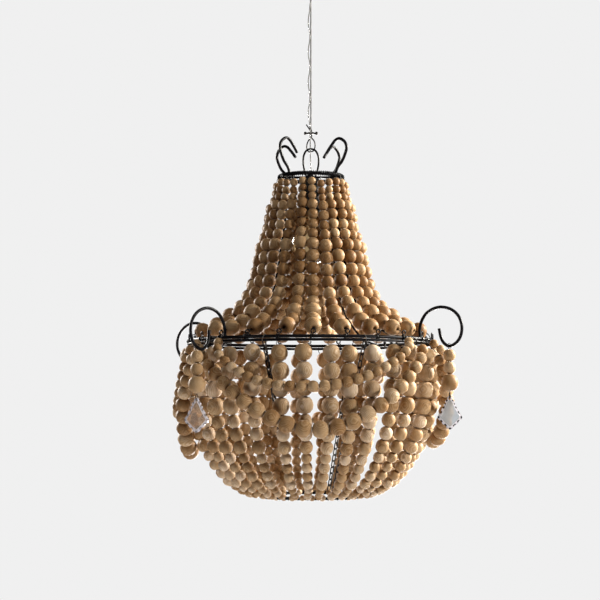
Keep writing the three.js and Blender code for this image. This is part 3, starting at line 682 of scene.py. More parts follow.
# %% Cut crystal
CRYSTAL_BLUES = ((0.6, 0.64, 0.68), (0.7, 0.75, 0.8))
CRYSTAL_WARMTH = (0.93, 0.78, 0.64)
WARM_BY_MILK = (-4, 1.5)
RIM_COLOUR = (0.8, 0.78, 0.85)
NOTCH_COLOUR = (0.004, 0.003, 0.006)
RIM_MILK = 0.4
CRYSTAL_BUMPS = (0.05, 0.0001)


def build_crystal():
    """Milky glass with a pale rim and dark notches; where it is less milky it is warmer."""
    material, tree, shader = new_material("cut crystal")
    surface = handled(tree, Mottle=90.0)
    milk, rim, notch = (attribute(tree, name) for name in ("milk", "rim", "notch"))
    warm = math_node(tree, "MULTIPLY_ADD", milk, *WARM_BY_MILK)
    colour = two_shades(tree, surface["Mottle"], *CRYSTAL_BLUES)
    for mask, shade in ((warm, CRYSTAL_WARMTH), (rim, RIM_COLOUR), (notch, NOTCH_COLOUR)):
        colour = mix_node(tree, "MIX", mask, colour, shade)
    clear = math_node(tree, "SUBTRACT", 1, milk)
    clear = math_node(tree, "MULTIPLY_ADD", rim, -RIM_MILK, clear)
    fill(tree, shader, {
        "Base Color": colour, "Transmission Weight": clear, "Roughness": 0.03, "IOR": 1.5,
    })
    bump(tree, shader, surface["Speckle"], *CRYSTAL_BUMPS)
    return material


cut_crystal = build_crystal()
print("finish:", cut_crystal.name)

# %% [markdown]
# ## Wires and threads by Geometry Nodes
# Everything thin here is a round section carried along a line: rings, scrolls, threads and the
# flex. One Geometry Nodes tree does it for all of them: it takes a curve, gives it a circle as
# its section, caps its ends and sets its material. The curve itself is drawn in the script, so a
# wire can be changed by moving a point.

# %% Node tree helpers
def new_tree(name, inputs):
    """A geometry node group with a geometry in and out and the named inputs."""
    inputs = {"Geometry": ("Geometry", None), **inputs, "Material": ("Material", None)}
    return new_group(name, inputs, ("Geometry",), "GeometryNodeTree")


def realized(tree, geometry):
    return add_node(tree, "GeometryNodeRealizeInstances", {"Geometry": geometry}).outputs[0]


def finish_tree(tree, geometry, material, out):
    """Ends a tree as the export needs: instances made real, then the material."""
    inputs = {"Geometry": realized(tree, geometry), "Material": material}
    painted = add_node(tree, "GeometryNodeSetMaterial", inputs)
    fill(tree, out, {"Geometry": painted.outputs[0]})


def grown(source, tree, values, name):
    """Runs a tree on an object and gives the result as a plain mesh object at the origin."""
    modifier = source.modifiers.new("grow", "NODES")
    modifier.node_group = tree
    for item in tree.interface.items_tree:
        if item.in_out == "INPUT" and item.name in values:
            modifier[item.identifier] = values[item.name]
    source.update_tag()
    return applied(source, name)


def applied(source, name):
    """The mesh that an object's modifiers give, in an object of its own, without the source."""
    depsgraph = bpy.context.evaluated_depsgraph_get()
    made = bpy.data.meshes.new_from_object(source.evaluated_get(depsgraph), depsgraph=depsgraph)
    source.modifiers.clear()
    bpy.data.objects.remove(source)
    made.name = name
    return add_object(name, made)


def dress(piece, body, slot, *nodes):
    """Makes a piece ride on its body and stand for its solids; its slot is not used."""
    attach(piece, body)
    if nodes:
        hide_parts(*nodes)
    return piece


print("node tree helpers ready")

# %% Wire tree
SHARP_TURN = math.radians(50)


def circle(tree, sides, radius):
    inputs = {"Resolution": sides, "Radius": radius}
    return add_node(tree, "GeometryNodeCurvePrimitiveCircle", inputs).outputs["Curve"]


def carried(tree, curve, section):
    """A section carried along a curve, with its ends closed."""
    inputs = {"Curve": curve, "Profile Curve": section, "Fill Caps": True}
    return add_node(tree, "GeometryNodeCurveToMesh", inputs).outputs[0]


def build_wire_tree():
    inputs = {"Diameter": ("Float", 0.001), "Sides": ("Int", 8)}
    tree, ins, out = new_tree("wire along a line", inputs)
    half = math_node(tree, "MULTIPLY", ins["Diameter"], 0.5)
    tube = carried(tree, ins["Geometry"], circle(tree, ins["Sides"], half))
    finish_tree(tree, tube, ins["Material"], out)
    return tree


def line_object(lines, closed=False):
    """A curve object with one straight-sided spline for each list of points."""
    curve = bpy.data.curves.new("line", "CURVE")
    curve.dimensions = "3D"
    for points in lines:
        spline = curve.splines.new("POLY")
        spline.points.add(len(points) - 1)
        for slot, point in zip(spline.points, points):
            slot.co = (*point, 1)
        spline.use_cyclic_u = closed
    return add_object("line", curve)


def shade(piece, angle=SHARP_TURN):
    """Smooth shading with sharp edges kept where the surface turns sharply."""
    for polygon in piece.data.polygons:
        polygon.use_smooth = True
    piece.data.set_sharp_from_angle(angle=angle)
    return piece


def wire_piece(name, lines, diameter, sides, material, closed=False):
    values = {"Diameter": diameter * MM, "Sides": sides, "Material": material}
    return shade(grown(line_object(lines, closed), wire_tree, values, name))


def dark_piece(body, nodes, name, lines, diameter, sides, closed=False):
    """A piece of dark wire that rides on a body and stands for nodes."""
    piece = wire_piece(name, lines, diameter, sides, dark_wire, closed)
    return dress(piece, body, "dark_wire", *nodes)


wire_tree = build_wire_tree()
print("wire tree:", len(wire_tree.nodes), "nodes")

# %% [markdown]
# ## Beads by Geometry Nodes
# A thousand beads share one shape: a ball turned on a lathe, a little shorter than wide, with a
# drilled hole. The script knows where each bead sits, so a point there carries its size, its
# length and its direction. The tree puts a bead on every point, turns it along its thread,
# spins it at random, and gives it a shade and a place in the wood of its own. Its row's painted
# light level is added to that shade, and each point keeps how near it is to the bead's ends,
# for the painted shade there.

# %% One bead
BEAD_SEGMENTS = 12
BEAD_PROFILE = [
    (0.085, -0.36), (0.12, -0.455), (0.31, -0.385), (0.45, -0.215),
    (0.5, 0.0), (0.45, 0.215), (0.31, 0.385), (0.12, 0.455), (0.085, 0.36),
]


def turned_mesh(name, profile, segments, closed=False):
    """A mesh from a profile of (radius, height) pairs turned about the vertical axis."""
    made = bmesh.new()
    rings = []
    for radius, height in profile:
        ring = [
            (radius * math.cos(a), radius * math.sin(a), height) for a in circled(segments)
        ]
        rings.append([made.verts.new(spot) for spot in (ring if radius else ring[:1])])
    pairs = list(zip(rings, rings[1:]))
    if closed:
        pairs.append((rings[-1], rings[0]))
    for a, b in pairs:
        for k in range(segments):
            n = (k + 1) % segments
            if len(a) == 1:
                corners = (a[0], b[n], b[k])
            elif len(b) == 1:
                corners = (a[k], a[n], b[0])
            else:
                corners = (a[k], a[n], b[n], b[k])
            made.faces.new(corners)
    bmesh.ops.recalc_face_normals(made, faces=made.faces)
    mesh = mesh_from(made, name)
    for polygon in mesh.polygons:
        polygon.use_smooth = True
    return mesh


def build_bead():
    """The bead's mesh, one unit across, which remembers each vertex's place in the bead."""
    mesh = turned_mesh("bead", BEAD_PROFILE, BEAD_SEGMENTS, closed=True)
    here = mesh.attributes.new("bead_vertex", "FLOAT_VECTOR", "POINT")
    for k, vertex in enumerate(mesh.vertices):
        here.data[k].vector = vertex.co
    return add_object("bead", mesh)


bead = build_bead()
print("faces on one bead:", len(bead.data.polygons))

# %% Bead tree
WOOD_PLACES = ((-0.06, 0.01, -1), (0.06, 0.05, 1))


def named(tree, name, kind="FLOAT"):
    inputs = {"Name": name}
    return add_node(tree, "GeometryNodeInputNamedAttribute", inputs, data_type=kind).outputs[0]


def stored(tree, geometry, name, value, domain, kind="FLOAT"):
    """Geometry with a value kept under a name."""
    inputs = {"Geometry": geometry, "Name": name, "Value": value}
    node = add_node(
        tree, "GeometryNodeStoreNamedAttribute", inputs, data_type=kind, domain=domain
    )
    return node.outputs[0]


def random_value(tree, low, high, seed, kind="FLOAT"):
    node = add_node(tree, "FunctionNodeRandomValue", {"Seed": seed}, data_type=kind)
    ports = [s for s in node.inputs if s.enabled]
    ports[0].default_value, ports[1].default_value = low, high
    return next(s for s in node.outputs if s.enabled)


def instances(tree, points, shape, along, spin, **inputs):
    """An object's copies on points, each with its Z laid along a direction after a spin."""
    ahead = add_node(tree, "FunctionNodeAlignRotationToVector", {"Vector": along}, axis="Z")
    spun = add_node(
        tree, "FunctionNodeAxisAngleToRotation", {"Axis": (0, 0, 1), "Angle": spin}
    )
    rotation = add_node(
        tree, "FunctionNodeRotateRotation",
        {"Rotation": ahead.outputs[0], "Rotate By": spun.outputs[0]}, rotation_space="LOCAL",
    )
    shape = add_node(tree, "GeometryNodeObjectInfo", {"Object": shape}).outputs["Geometry"]
    inputs |= {"Points": points, "Instance": shape, "Rotation": rotation.outputs[0]}
    return add_node(tree, "GeometryNodeInstanceOnPoints", inputs).outputs[0]


def build_bead_tree():
    inputs = {"Bead": ("Object", None), "Seed": ("Int", 7), "Painted Light Level": ("Float", 0.0)}
    tree, ins, out = new_tree("beads on points", inputs)
    vector = "FLOAT_VECTOR"
    size, seed = named(tree, "bead_size"), ins["Seed"]
    later = [math_node(tree, "ADD", seed, k) for k in (1, 2)]
    lengths = {0: size, 1: size, 2: named(tree, "bead_length")}
    geometry = instances(
        tree, ins["Geometry"], ins["Bead"], named(tree, "bead_along", vector),
        random_value(tree, 0, 2 * math.pi, seed),
        Scale=add_node(tree, "ShaderNodeCombineXYZ", lengths).outputs[0],
    )
    # The bead's own random shade plus its row's painted light level
    shade_and_painted_light = math_node(tree, "ADD", random_value(tree, 0, 1, later[0]), ins["Painted Light Level"])
    geometry = stored(tree, geometry, "bead_shade", shade_and_painted_light, "INSTANCE")
    wood_place = random_value(tree, *WOOD_PLACES, later[1], vector)
    geometry = stored(tree, geometry, "wood_place", wood_place, "INSTANCE", vector)
    geometry = realized(tree, geometry)
    vertex = named(tree, "bead_vertex", vector)
    own = vector_math(tree, "SCALE", vertex, named(tree, "bead_size"))
    grain = vector_math(tree, "ADD", own, named(tree, "wood_place", vector))
    geometry = stored(tree, geometry, "grain_place", grain, "POINT", vector)
    # How near each point is to the bead's ends: the mask for the painted shade there
    height = add_node(tree, "ShaderNodeSeparateXYZ", {0: vertex}).outputs[2]
    end = math_node(tree, "MULTIPLY", math_node(tree, "ABSOLUTE", height), 2)
    geometry = stored(tree, geometry, "bead_end", end, "POINT")
    for spare in ("bead_vertex", "wood_place", "bead_size", "bead_length", "bead_along"):
        inputs = {"Geometry": geometry, "Name": spare}
        geometry = add_node(tree, "GeometryNodeRemoveAttribute", inputs).outputs[0]
    finish_tree(tree, geometry, ins["Material"], out)
    return tree


bead_tree = build_bead_tree()
print("bead tree:", len(bead_tree.nodes), "nodes")

# %% Beads from places
BEAD_GAP = 0.15
BEAD_HEIGHT = 0.91
RING_BEAD = {"size": 9, "change": 0.08, "aside": 1, "out": 0.6, "lift": 0.8, "length": 0.95}
RING_BEAD_SEED = 29
# Each row's painted light level: shade painted on the upper strings, swags and drops, light on the
# lower
PAINTED_LIGHT_LEVEL = {"upper": -0.42, "lower": 0.17, "swags": -0.14, "drops": -0.06}
SEEDS = {"upper": 11, "lower": 23, "swags": 40, "drops": 60}


def bead_points(beads):
    """A mesh of loose points that carry the beads' sizes, lengths and directions."""
    mesh = bpy.data.meshes.new("bead places")
    mesh.from_pydata([tuple(b[0]) for b in beads], [], [])
    size = mesh.attributes.new("bead_size", "FLOAT", "POINT")
    long = mesh.attributes.new("bead_length", "FLOAT", "POINT")
    along = mesh.attributes.new("bead_along", "FLOAT_VECTOR", "POINT")
    for k, (_, direction, diameter, pitch) in enumerate(beads):
        size.data[k].value = diameter * MM
        long.data[k].value = (pitch - BEAD_GAP) * MM / BEAD_HEIGHT
        along.data[k].vector = direction
    return add_object("bead places", mesh)


def bead_piece(name, kind, number, beads, body, nodes):
    """A piece of beads of one kind, which rides on a body and stands for nodes."""
    values = {
        "Bead": bead, "Seed": SEEDS[kind] + number, "Painted Light Level": PAINTED_LIGHT_LEVEL[kind],
        "Material": turned_wood,
    }
    piece = grown(bead_points(beads), bead_tree, values, name)
    return dress(piece, body, "turned_wood", *nodes)


def ring_beads(ring, strands, look, chance):
    """One small bead on a ring's wire in every space between the strings' ends."""
    beads = []
    for angle in angles_of(strands):
        aside = chance.uniform(-look["aside"], look["aside"])
        middle = angle + TURN / strands["count"] / 2 + aside
        own = look["size"] * chance.uniform(1 - look["change"], 1 + look["change"])
        spot = by_ring(ring, middle, chance.uniform(-look["out"], look["out"]), look["lift"])
        along = place(1, middle + TURN / 4, 0) / MM
        beads.append((spot, along, own, own * look["length"]))
    return beads


chance = random.Random(RING_BEAD_SEED)
lower_beads += ring_beads(BOTTOM_RING, LOWER_STRANDS, RING_BEAD, chance)
for kind, beads, strands in (
    ("upper", upper_beads, UPPER_STRANDS), ("lower", lower_beads, LOWER_STRANDS),
):
    nodes = [f"{kind}_strings_{k + 1}" for k in range(strands["groups"])]
    piece = bead_piece(f"{kind}_beads", kind, 0, beads, "frame", nodes)
    print(kind, "bead faces:", len(piece.data.polygons))

# %% [markdown]
# ## Rings, scrolls and ribs
# The frame is bent from round wire: four level rings, four ribs hidden inside the upper strings,
# four scrolls that curl in over the top ring and four larger ones that curl out over the main
# ring. Each is a smooth line with a round section.

# %% Rings
RING_STEPS = 120
WIRE_SIDES = 12
PAINT = 0.6
STRAND_PAINT = 1.4
RINGS = {
    "top_ring": TOP_RING, "main_ring": MAIN_RING,
    "strand_ring": STRAND_RING, "bottom_ring": BOTTOM_RING,
}

for name, ring in RINGS.items():
    thick = ring["wire"] + (STRAND_PAINT if name == "strand_ring" else PAINT)
    line = [by_ring(ring, TURN * k / RING_STEPS) for k in range(RING_STEPS)]
    dark_piece("frame", [name], f"{name}_wire", [line], thick, WIRE_SIDES, closed=True)
print("rings ready")

# %% Scrolls
SCROLL_WIRE = 4.5
CROWN = {
    "ring": TOP_RING, "reach": 22, "rise": 51,
    "angles": {"front_left": -42, "front_right": 50.5, "back_right": 140, "back_left": -130},
    "droops": {},
    "shares": [
        (0.2, 0.15), (0.55, 0.3), (0.82, 0.49), (0.98, 0.7), (0.82, 0.88),
        (0.35, 1), (0, 0.96), (-0.27, 0.85), (-0.52, 0.735), (-0.73, 0.62),
    ],
}
SCROLL = {
    "ring": MAIN_RING, "reach": 66, "rise": 42,
    "angles": {"front_left": -41.5, "front_right": 59, "back_right": 140, "back_left": -122},
    "droops": {"front_left": 8, "back_left": 18},
    "shares": [
        (-0.01, 0.24), (0.02, 0.48), (0.14, 0.78), (0.33, 0.955), (0.53, 1), (0.76, 0.9),
        (0.93, 0.66), (1, 0.33), (0.97, 0), (0.86, -0.23), (0.7, -0.335),
        (0.57, -0.22), (0.5, -0.02), (0.46, 0.27),
    ],
}


def scroll_points(scroll, side):
    """A scroll's points in its vertical plane, leaning down about its root by its droop."""
    ring, angle = scroll["ring"], scroll["angles"][side]
    lean = math.radians(scroll["droops"].get(side, 0))
    root = ring["wire"] / 2 + FIT
    points = [by_ring(ring, angle, 0, root - FIT - ring["wire"] / 4)]
    for out, up in scroll["shares"]:
        x, z = out * scroll["reach"], up * scroll["rise"]
        outward = x * math.cos(lean) + z * math.sin(lean)
        upward = z * math.cos(lean) - x * math.sin(lean)
        points.append(by_ring(ring, angle, outward, root + upward))
    return points


for side in SIDES:
    for label, scroll in (("crown_scroll", CROWN), ("main_scroll", SCROLL)):
        node, line = f"{label}_{side}", smoothed(scroll_points(scroll, side), 2)
        dark_piece("frame", [node], f"{node}_wire", [line], SCROLL_WIRE, 14)
print("scrolls ready")

# %% Ribs
RIB_WIRE = 3.5
RIB_SHARES = [
    (-0.01, 0.0), (-0.01, 0.09), (0.02, 0.26), (0.09, 0.46), (0.18, 0.675),
    (0.3, 0.81), (0.475, 0.9), (0.66, 0.965), (0.83, 0.99), (0.985, 1.0),
]
RIB_START, RIB_PITCH = -36.5, 90
for k in range(4):
    node = f"rib_{k + 1}"
    line = smoothed(string_at(RIB_SHARES, TOP_RING, MAIN_RING, RIB_START + k * RIB_PITCH), 3)
    dark_piece("frame", [node], f"{node}_wire", [line], RIB_WIRE, 10)
print("ribs ready")

# %% [markdown]
# ## Threads, winding and eyelets
# Each string's thread turns once round its upper ring, runs through the beads, and turns round
# its lower ring. Thin wire is wound all round the top ring. Where the upper strings end, a small
# black wire eyelet stands on the main ring, and a few steel jump rings hang from it.

# %% Threads
THREAD_SIDES = 6
THREAD_PLAY = 0.05
TURN_STEPS = 10


def turn_round(ring, angle, start, sweep):
    """The thread's turn round a ring's wire, in degrees from outward towards up."""
    reach = (ring["wire"] + THREAD) / 2 + THREAD_PLAY
    line = []
    for k in range(TURN_STEPS + 1):
        a = math.radians(start + sweep * k / TURN_STEPS)
        aside = math.degrees(THREAD * (k / TURN_STEPS) / ring["radius"])
        line.append(by_ring(ring, angle + aside, reach * math.cos(a), reach * math.sin(a)))
    return line


# Each row's strings, and where its thread's turns start on the two rings and how far they go
for row, runs, upper, first, lower, last in (
    ("upper", upper_runs, TOP_RING, (-160, -220), MAIN_RING, (130, -330)),
    ("lower", lower_runs, STRAND_RING, (200, -290), BOTTOM_RING, (20, 320)),
):
    lines = [
        turn_round(upper, angle, *first) + run + turn_round(lower, angle, *last)
        for angle, run in runs
    ]
    dark_piece("frame", [], f"{row}_threads", lines, THREAD, THREAD_SIDES)
    print(row, "threads:", len(lines))

# %% Winding on the top ring
WINDING_WIRE = 1.1
WINDING_TURNS = 96
WINDING_STEPS = 8
WINDING_SLACK = 0.5
WINDING_SEED = 3


def winding_line(ring, chance):
    """Thin wire wound loosely round a ring, turn after turn, all the way round it."""
    line = []
    steps = WINDING_TURNS * WINDING_STEPS
    for k in range(steps):
        a = 2 * math.pi * k / WINDING_STEPS
        slack = chance.uniform(0, WINDING_SLACK)
        reach = (ring["wire"] + PAINT + WINDING_WIRE) / 2 + slack
        line.append(by_ring(ring, TURN * k / steps, reach * math.cos(a), reach * math.sin(a)))
    return line


line = winding_line(TOP_RING, random.Random(WINDING_SEED))
piece = dark_piece("frame", [], "top_ring_winding", [line], WINDING_WIRE, 5, closed=True)
print("winding faces:", len(piece.data.polygons))

# %% Eyelets and jump rings
EYELET_WIRE = 1.9
EYELET_RADIUS = 3.1
EYELET_TURN = (-1.2, -200, 470)
EYE_SHARE, EYE_START = 0.94, 0.25
JUMP_WIRE = 1.1
JUMP_RADIUS = 4.4
JUMP_LEAN = 0.5
JUMP_SEED = 17
JUMP_ANGLES = (-51, -43, -20.9, 24.1, 46.5, 48.5, 51, 53, 60.2, 65.5, 133.5, 138.8, 146.5,
               159.1, 204.1, 231.5, 239.2, 244.5, 303, 307.5)


def eyelet_line(angle):
    """A turn and a half round the main ring's wire, then a small round eye on top of it."""
    around = {**MAIN_RING, "wire": MAIN_RING["wire"] + EYELET_WIRE - THREAD}
    back, start, sweep = EYELET_TURN
    line = turn_round(around, angle + back, start, sweep)
    steps = TURN_STEPS * 2
    for k in range(steps + 1):
        a = 2 * math.pi * (k / steps * EYE_SHARE - EYE_START)
        aside = math.degrees(EYELET_RADIUS * math.cos(a) / MAIN_RING["radius"])
        lift = MAIN_RING["wire"] / 2 + EYELET_WIRE + EYELET_RADIUS * (1 + math.sin(a))
        line.append(by_ring(MAIN_RING, angle + aside, 0, lift))
    return line


def jump_ring(ring, angle, radius, chance):
    """A small steel ring hanging round a ring's wire, tilted at random."""
    lean = chance.uniform(-JUMP_LEAN, JUMP_LEAN)
    drop = radius - ring["wire"] / 2 - JUMP_WIRE / 2
    line = []
    for a in circled(TURN_STEPS * 2):
        out, up = radius * math.cos(a), radius * math.sin(a)
        aside = math.degrees(lean * up / ring["radius"])
        line.append(by_ring(ring, angle + aside, out, up - drop))
    return line


eyelets = [eyelet_line(angle) for angle, _ in upper_runs]
dark_piece("frame", [], "main_ring_eyelets", eyelets, EYELET_WIRE, 8)
chance = random.Random(JUMP_SEED)
jumps = [jump_ring(MAIN_RING, a, JUMP_RADIUS, chance) for a in JUMP_ANGLES]
piece = wire_piece("main_ring_jumps", jumps, JUMP_WIRE, 8, dull_steel, True)
dress(piece, "frame", "steel")
print("eyelets:", len(eyelets), "jump rings:", len(jumps))

# %% [markdown]
# ## Swags
# Eight swags drape over the lower strings between the scrolls, two in each sector. A thread
# leaves the outside of the main ring and the beads rest on the strings behind them. The two of a
# sector move with a body of their own, because they can be lifted off the strings.

# %% Swags
SWAG_STEPS = 24
SWAG_EASE = 22
UPPER_SWAG = {
    "depths": {"front": 70, "right": 88, "back": 70, "left": 108},
    "ends": {
        "front": (-43, 46.5), "right": (65.5, 133.5), "back": (146.5, 231.5), "left": (-115.5, -57),
    },
    "leads": {}, "lead": 3, "leans": {"front": 0.86}, "power": 2.3, "end": 13, "middle": 16.5,
}
LOWER_SWAG = {
    "depths": {"front": 129, "right": 149, "back": 126, "left": 164},
    "ends": {
        "front": (-51, 51), "right": (60.2, 138.8), "back": (141.2, 236.8), "left": (-120.8, -52.5),
    },
    "leads": {"front": 12}, "lead": 24, "leans": {"front": 1.06}, "power": 1.9,
    "end": 15, "middle": 25,
}
SWAG_SLACK = 0.8
LENGTH_SHARE = 0.93
WAISTS = beads_on(string_at(LOWER_SHARES, MAIN_RING, BOTTOM_RING, 0), LOWER_BEADS)


def outside_at(height):
    """How far out the lower strings' beads reach at a height, in millimetres."""
    reach = [(-b[0].y / MM + b[2] / 2, b[0].z / MM) for b in WAISTS]
    below = next((k for k, (_, z) in enumerate(reach) if z < height), -1)
    if below <= 0:
        return reach[0][0]
    (ra, za), (rb, zb) = reach[below - 1], reach[below]
    return lerp(ra, rb, (za - height) / (za - zb))


def swag_run(kind, side):
    """A swag's points between its hooks, its beads' sizes and its hooks."""
    start, end = kind["ends"][side]
    lead, lean = kind["leads"].get(side, kind["lead"]), kind["leans"].get(side, 1)
    hook_out = (MAIN_RING["wire"] + THREAD) / 2
    points = []
    for k in range(SWAG_STEPS + 1):
        across = abs(2 * (k / SWAG_STEPS) ** lean - 1)
        fall = lead + (kind["depths"][side] - lead) * (1 - across ** kind["power"])
        outside = outside_at(MAIN_RING["height"] - fall) - MAIN_RING["radius"]
        ease = math.sin(min(fall / SWAG_EASE, 1) * math.pi / 2)
        out = lerp(hook_out, outside + kind["middle"] / 2 + SWAG_SLACK, ease)
        points.append(by_ring(MAIN_RING, lerp(start, end, k / SWAG_STEPS), out, -fall))
    length = measured(points)[1][-1] / MM
    typical = (kind["end"] + kind["middle"]) / 2
    count = int((length - 2 * SWAG_SLACK) / (typical * LENGTH_SHARE + SWAG_SLACK))
    sizes = [
        lerp(kind["end"], kind["middle"], math.sin(math.pi * (k + 1) / (count + 1)))
        for k in range(count)
    ]
    return points, sizes, [by_ring(MAIN_RING, a, hook_out) for a in (start, end)]


for number, side in enumerate(SECTORS):
    beads, lines = [], []
    for kind in (UPPER_SWAG, LOWER_SWAG):
        points, sizes, hooks = swag_run(kind, side)
        beads += beads_on(points, sizes)
        lines.append([hooks[0], *points, hooks[1]])
    body, nodes = f"swags_{side}", [f"swag_upper_{side}", f"swag_lower_{side}"]
    bead_piece(f"swag_beads_{side}", "swags", number, beads, body, nodes)
    dark_piece(body, [], f"swag_threads_{side}", lines, THREAD, THREAD_SIDES)
    print(side, "swags:", len(beads), "beads")

# %% [markdown]
# ## Drops and crystals
# A wire loop hangs on each scroll's lowest point. Below it come three beads, and a second loop
# through the crystal's hole. The crystal is a cut kite with a scalloped rim: its middle is milky
# and flat, its sloping border is pale, and small dark notches run all round its edge.

# %% Drops
LOOP_RADIUS = 4.3
CRYSTAL_LOOP = 4.6
LOOP_OPENING = 30
LOOP_STEPS = 24
DROP_SLACK = 0.8
LOOP_STEM = 1
HANG_POINTS = {"front_left": 10, "front_right": 11, "back_right": 11, "back_left": 10}
CRYSTAL_FACING = {"front_left": -15, "front_right": 0, "back_right": 150, "back_left": -60}


def below(point, fall):
    """The point that many millimetres under another."""
    return point - Vector((0, 0, fall * MM))


def loop_line(centre, sideways, radius, stem_above):
    """An open loop of wire, from its free end round to its stem."""
    line = []
    for k in range(LOOP_STEPS + 1):
        a = math.radians(LOOP_OPENING + (TURN - LOOP_OPENING) * k / LOOP_STEPS)
        up = math.cos(a) * (1 if stem_above else -1)
        line.append(centre + (sideways * math.sin(a) + Vector((0, 0, up))) * radius * MM)
    return line


def drop_parts(side):
    """The drop's beads, its wire and the centre of its lower loop."""
    low = scroll_points(SCROLL, side)[HANG_POINTS[side]]
    across = place(1 / MM, SCROLL["angles"][side] + TURN / 4, 0)
    facing = place(1 / MM, CRYSTAL_FACING[side], 0)
    length = sum(DROP_BEADS) * LENGTH_SHARE + (len(DROP_BEADS) + 1) * DROP_SLACK
    top = below(low, LOOP_RADIUS)
    bottom = below(top, length)
    centre = below(bottom, LOOP_STEM + CRYSTAL_LOOP)
    upper = loop_line(low, across, LOOP_RADIUS, False)
    lower = loop_line(centre, facing, CRYSTAL_LOOP, True)
    return beads_on([top, bottom], DROP_BEADS), [upper + lower[::-1]], centre


loop_centres = {}
for number, side in enumerate(SIDES):
    beads, lines, loop_centres[side] = drop_parts(side)
    body = f"drop_{side}"
    bead_piece(f"drop_beads_{side}", "drops", number, beads, body, [body])
    dark_piece(body, [], f"drop_wire_{side}", lines, THREAD, THREAD_SIDES)
print("drops ready")

# %% Crystals
CRYSTAL_WIDTH = 36
CRYSTAL_HEIGHT = 50
CRYSTAL_RIM = 3
CRYSTAL_HOLE_RADIUS = 1.7
CRYSTAL_HOLE_DEPTH = 5.5
DRILL_HALF = 20
DRILL_SIDES = 16
CRYSTAL_SIDE = [
    (0.0, 0.0), (0.13, 0.13), (0.25, 0.33), (0.375, 0.5), (0.5, 0.64), (0.36, 0.76),
    (0.19, 0.88), (0.0, 1.0),
]
SCALLOPS_PER_EDGE = (1, 2, 1, 1, 1, 1, 1)
SCALLOP_STEPS = 4
SCALLOP_DEPTH = 1.3
SCALLOP_MIDDLE = 0.6
# How milky each one's glass is and how dark its notches are: the front left one is clearer
CRYSTAL_LOOKS = {
    "front_left": (0.14, 0.55), "front_right": (0.38, 1.0),
    "back_right": (0.3, 0.9), "back_left": (0.25, 0.9),
}
CRYSTAL_HEART = Vector((0, -0.56 * CRYSTAL_HEIGHT))
# Each loop of the cut: its share of the outline, its height over the middle and its scallops
CRYSTAL_LOOPS = [(1.0, CRYSTAL_RIM / 2, 1), (0.86, 2.4, 0.4), (0.79, 3.0, 0)]


def crystal_loop(share, scallop):
    """The kite's outline in millimetres at a share of its size, anticlockwise from its tip."""
    corners = [(-x * CRYSTAL_WIDTH, -z * CRYSTAL_HEIGHT) for x, z in CRYSTAL_SIDE]
    corners += [(-x, z) for x, z in reversed(corners[:-1])]
    counts = SCALLOPS_PER_EDGE + SCALLOPS_PER_EDGE[::-1]
    outline = []
    for (a, b), count in zip(zip(corners, corners[1:]), counts):
        start, end = Vector(a), Vector(b)
        inward = Vector((-(end - start).y, (end - start).x)).normalized()
        for k in range(count * SCALLOP_STEPS):
            phase = math.sin(math.pi * (k % SCALLOP_STEPS) / SCALLOP_STEPS)
            point = start.lerp(end, k / (count * SCALLOP_STEPS))
            point += inward * SCALLOP_DEPTH * scallop * (SCALLOP_MIDDLE - phase)
            outline.append(CRYSTAL_HEART.lerp(point, share))
    return outline


def crystal_mesh(name, milk, notches):
    """The cut kite about its hole's top: a scalloped rim, a sloping border and a flat middle."""
    made = bmesh.new()
    notch, rim, milky = (made.faces.layers.float.new(name) for name in ("notch", "rim", "milk"))
    back, front = (
        [
            [made.verts.new((p.x, side * height, p.y)) for p in crystal_loop(share, scallop)]
            for share, height, scallop in loops
        ]
        for side, loops in ((-1, CRYSTAL_LOOPS), (1, CRYSTAL_LOOPS[::-1]))
    )
    made.faces.new(back[2])
    made.faces.new(front[0])
    order = back[::-1] + front[::-1]
    count = len(order[0])
    for number, (a, b) in enumerate(zip(order, order[1:])):
        for k in range(count):
            n = (k + 1) % count
            face = made.faces.new((a[k], a[n], b[n], b[k]))
            cut = k % SCALLOP_STEPS in (0, SCALLOP_STEPS - 1)
            face[notch] = notches if cut and number in (1, 2, 3) else 0.0
            face[rim] = 1.0
    for face in made.faces:
        face[milky] = milk
    bmesh.ops.recalc_face_normals(made, faces=made.faces)
    return mesh_from(made, name)


def drill_and_place(mesh, name, side):
    """Drills the hole, then hangs the crystal in its loop, facing its way."""
    reach = [(0, -DRILL_HALF), (CRYSTAL_HOLE_RADIUS, -DRILL_HALF),
             (CRYSTAL_HOLE_RADIUS, DRILL_HALF), (0, DRILL_HALF)]
    drill = add_object("drill", turned_mesh("drill", reach, DRILL_SIDES))
    quarter = Matrix.Rotation(math.pi / 2, 4, "X")
    drill.data.transform(Matrix.Translation((0, 0, -CRYSTAL_HOLE_DEPTH)) @ quarter)
    stone = add_object(name, mesh)
    cut = stone.modifiers.new("hole", "BOOLEAN")
    cut.object, cut.operation, cut.solver = drill, "DIFFERENCE", "EXACT"
    piece = applied(stone, name)
    bpy.data.objects.remove(drill)
    hang = below(loop_centres[side], CRYSTAL_LOOP - CRYSTAL_HOLE_DEPTH)
    turn = Matrix.Rotation(math.radians(CRYSTAL_FACING[side]), 4, "Z")
    piece.data.transform(Matrix.Translation(hang) @ turn @ Matrix.Scale(MM, 4))
    piece.data.materials.clear()
    piece.data.materials.append(cut_crystal)
    return piece


for side in SIDES:
    body = f"crystal_{side}"
    mesh = crystal_mesh(f"{body}_glass", *CRYSTAL_LOOKS[side])
    piece = drill_and_place(mesh, f"{body}_glass", side)
    dress(piece, body, "cut_crystal", body)
print("crystals ready:", len(piece.data.polygons), "faces each")

# %% [markdown]
# ## Chains
# Four thin chains of steel wire links run from the strand ring down to the bottom ring, inside
# the strings. A link is a long oval, and its neighbour is turned by a quarter. The tree places
# the links at a steady pitch along each line and turns every other one.

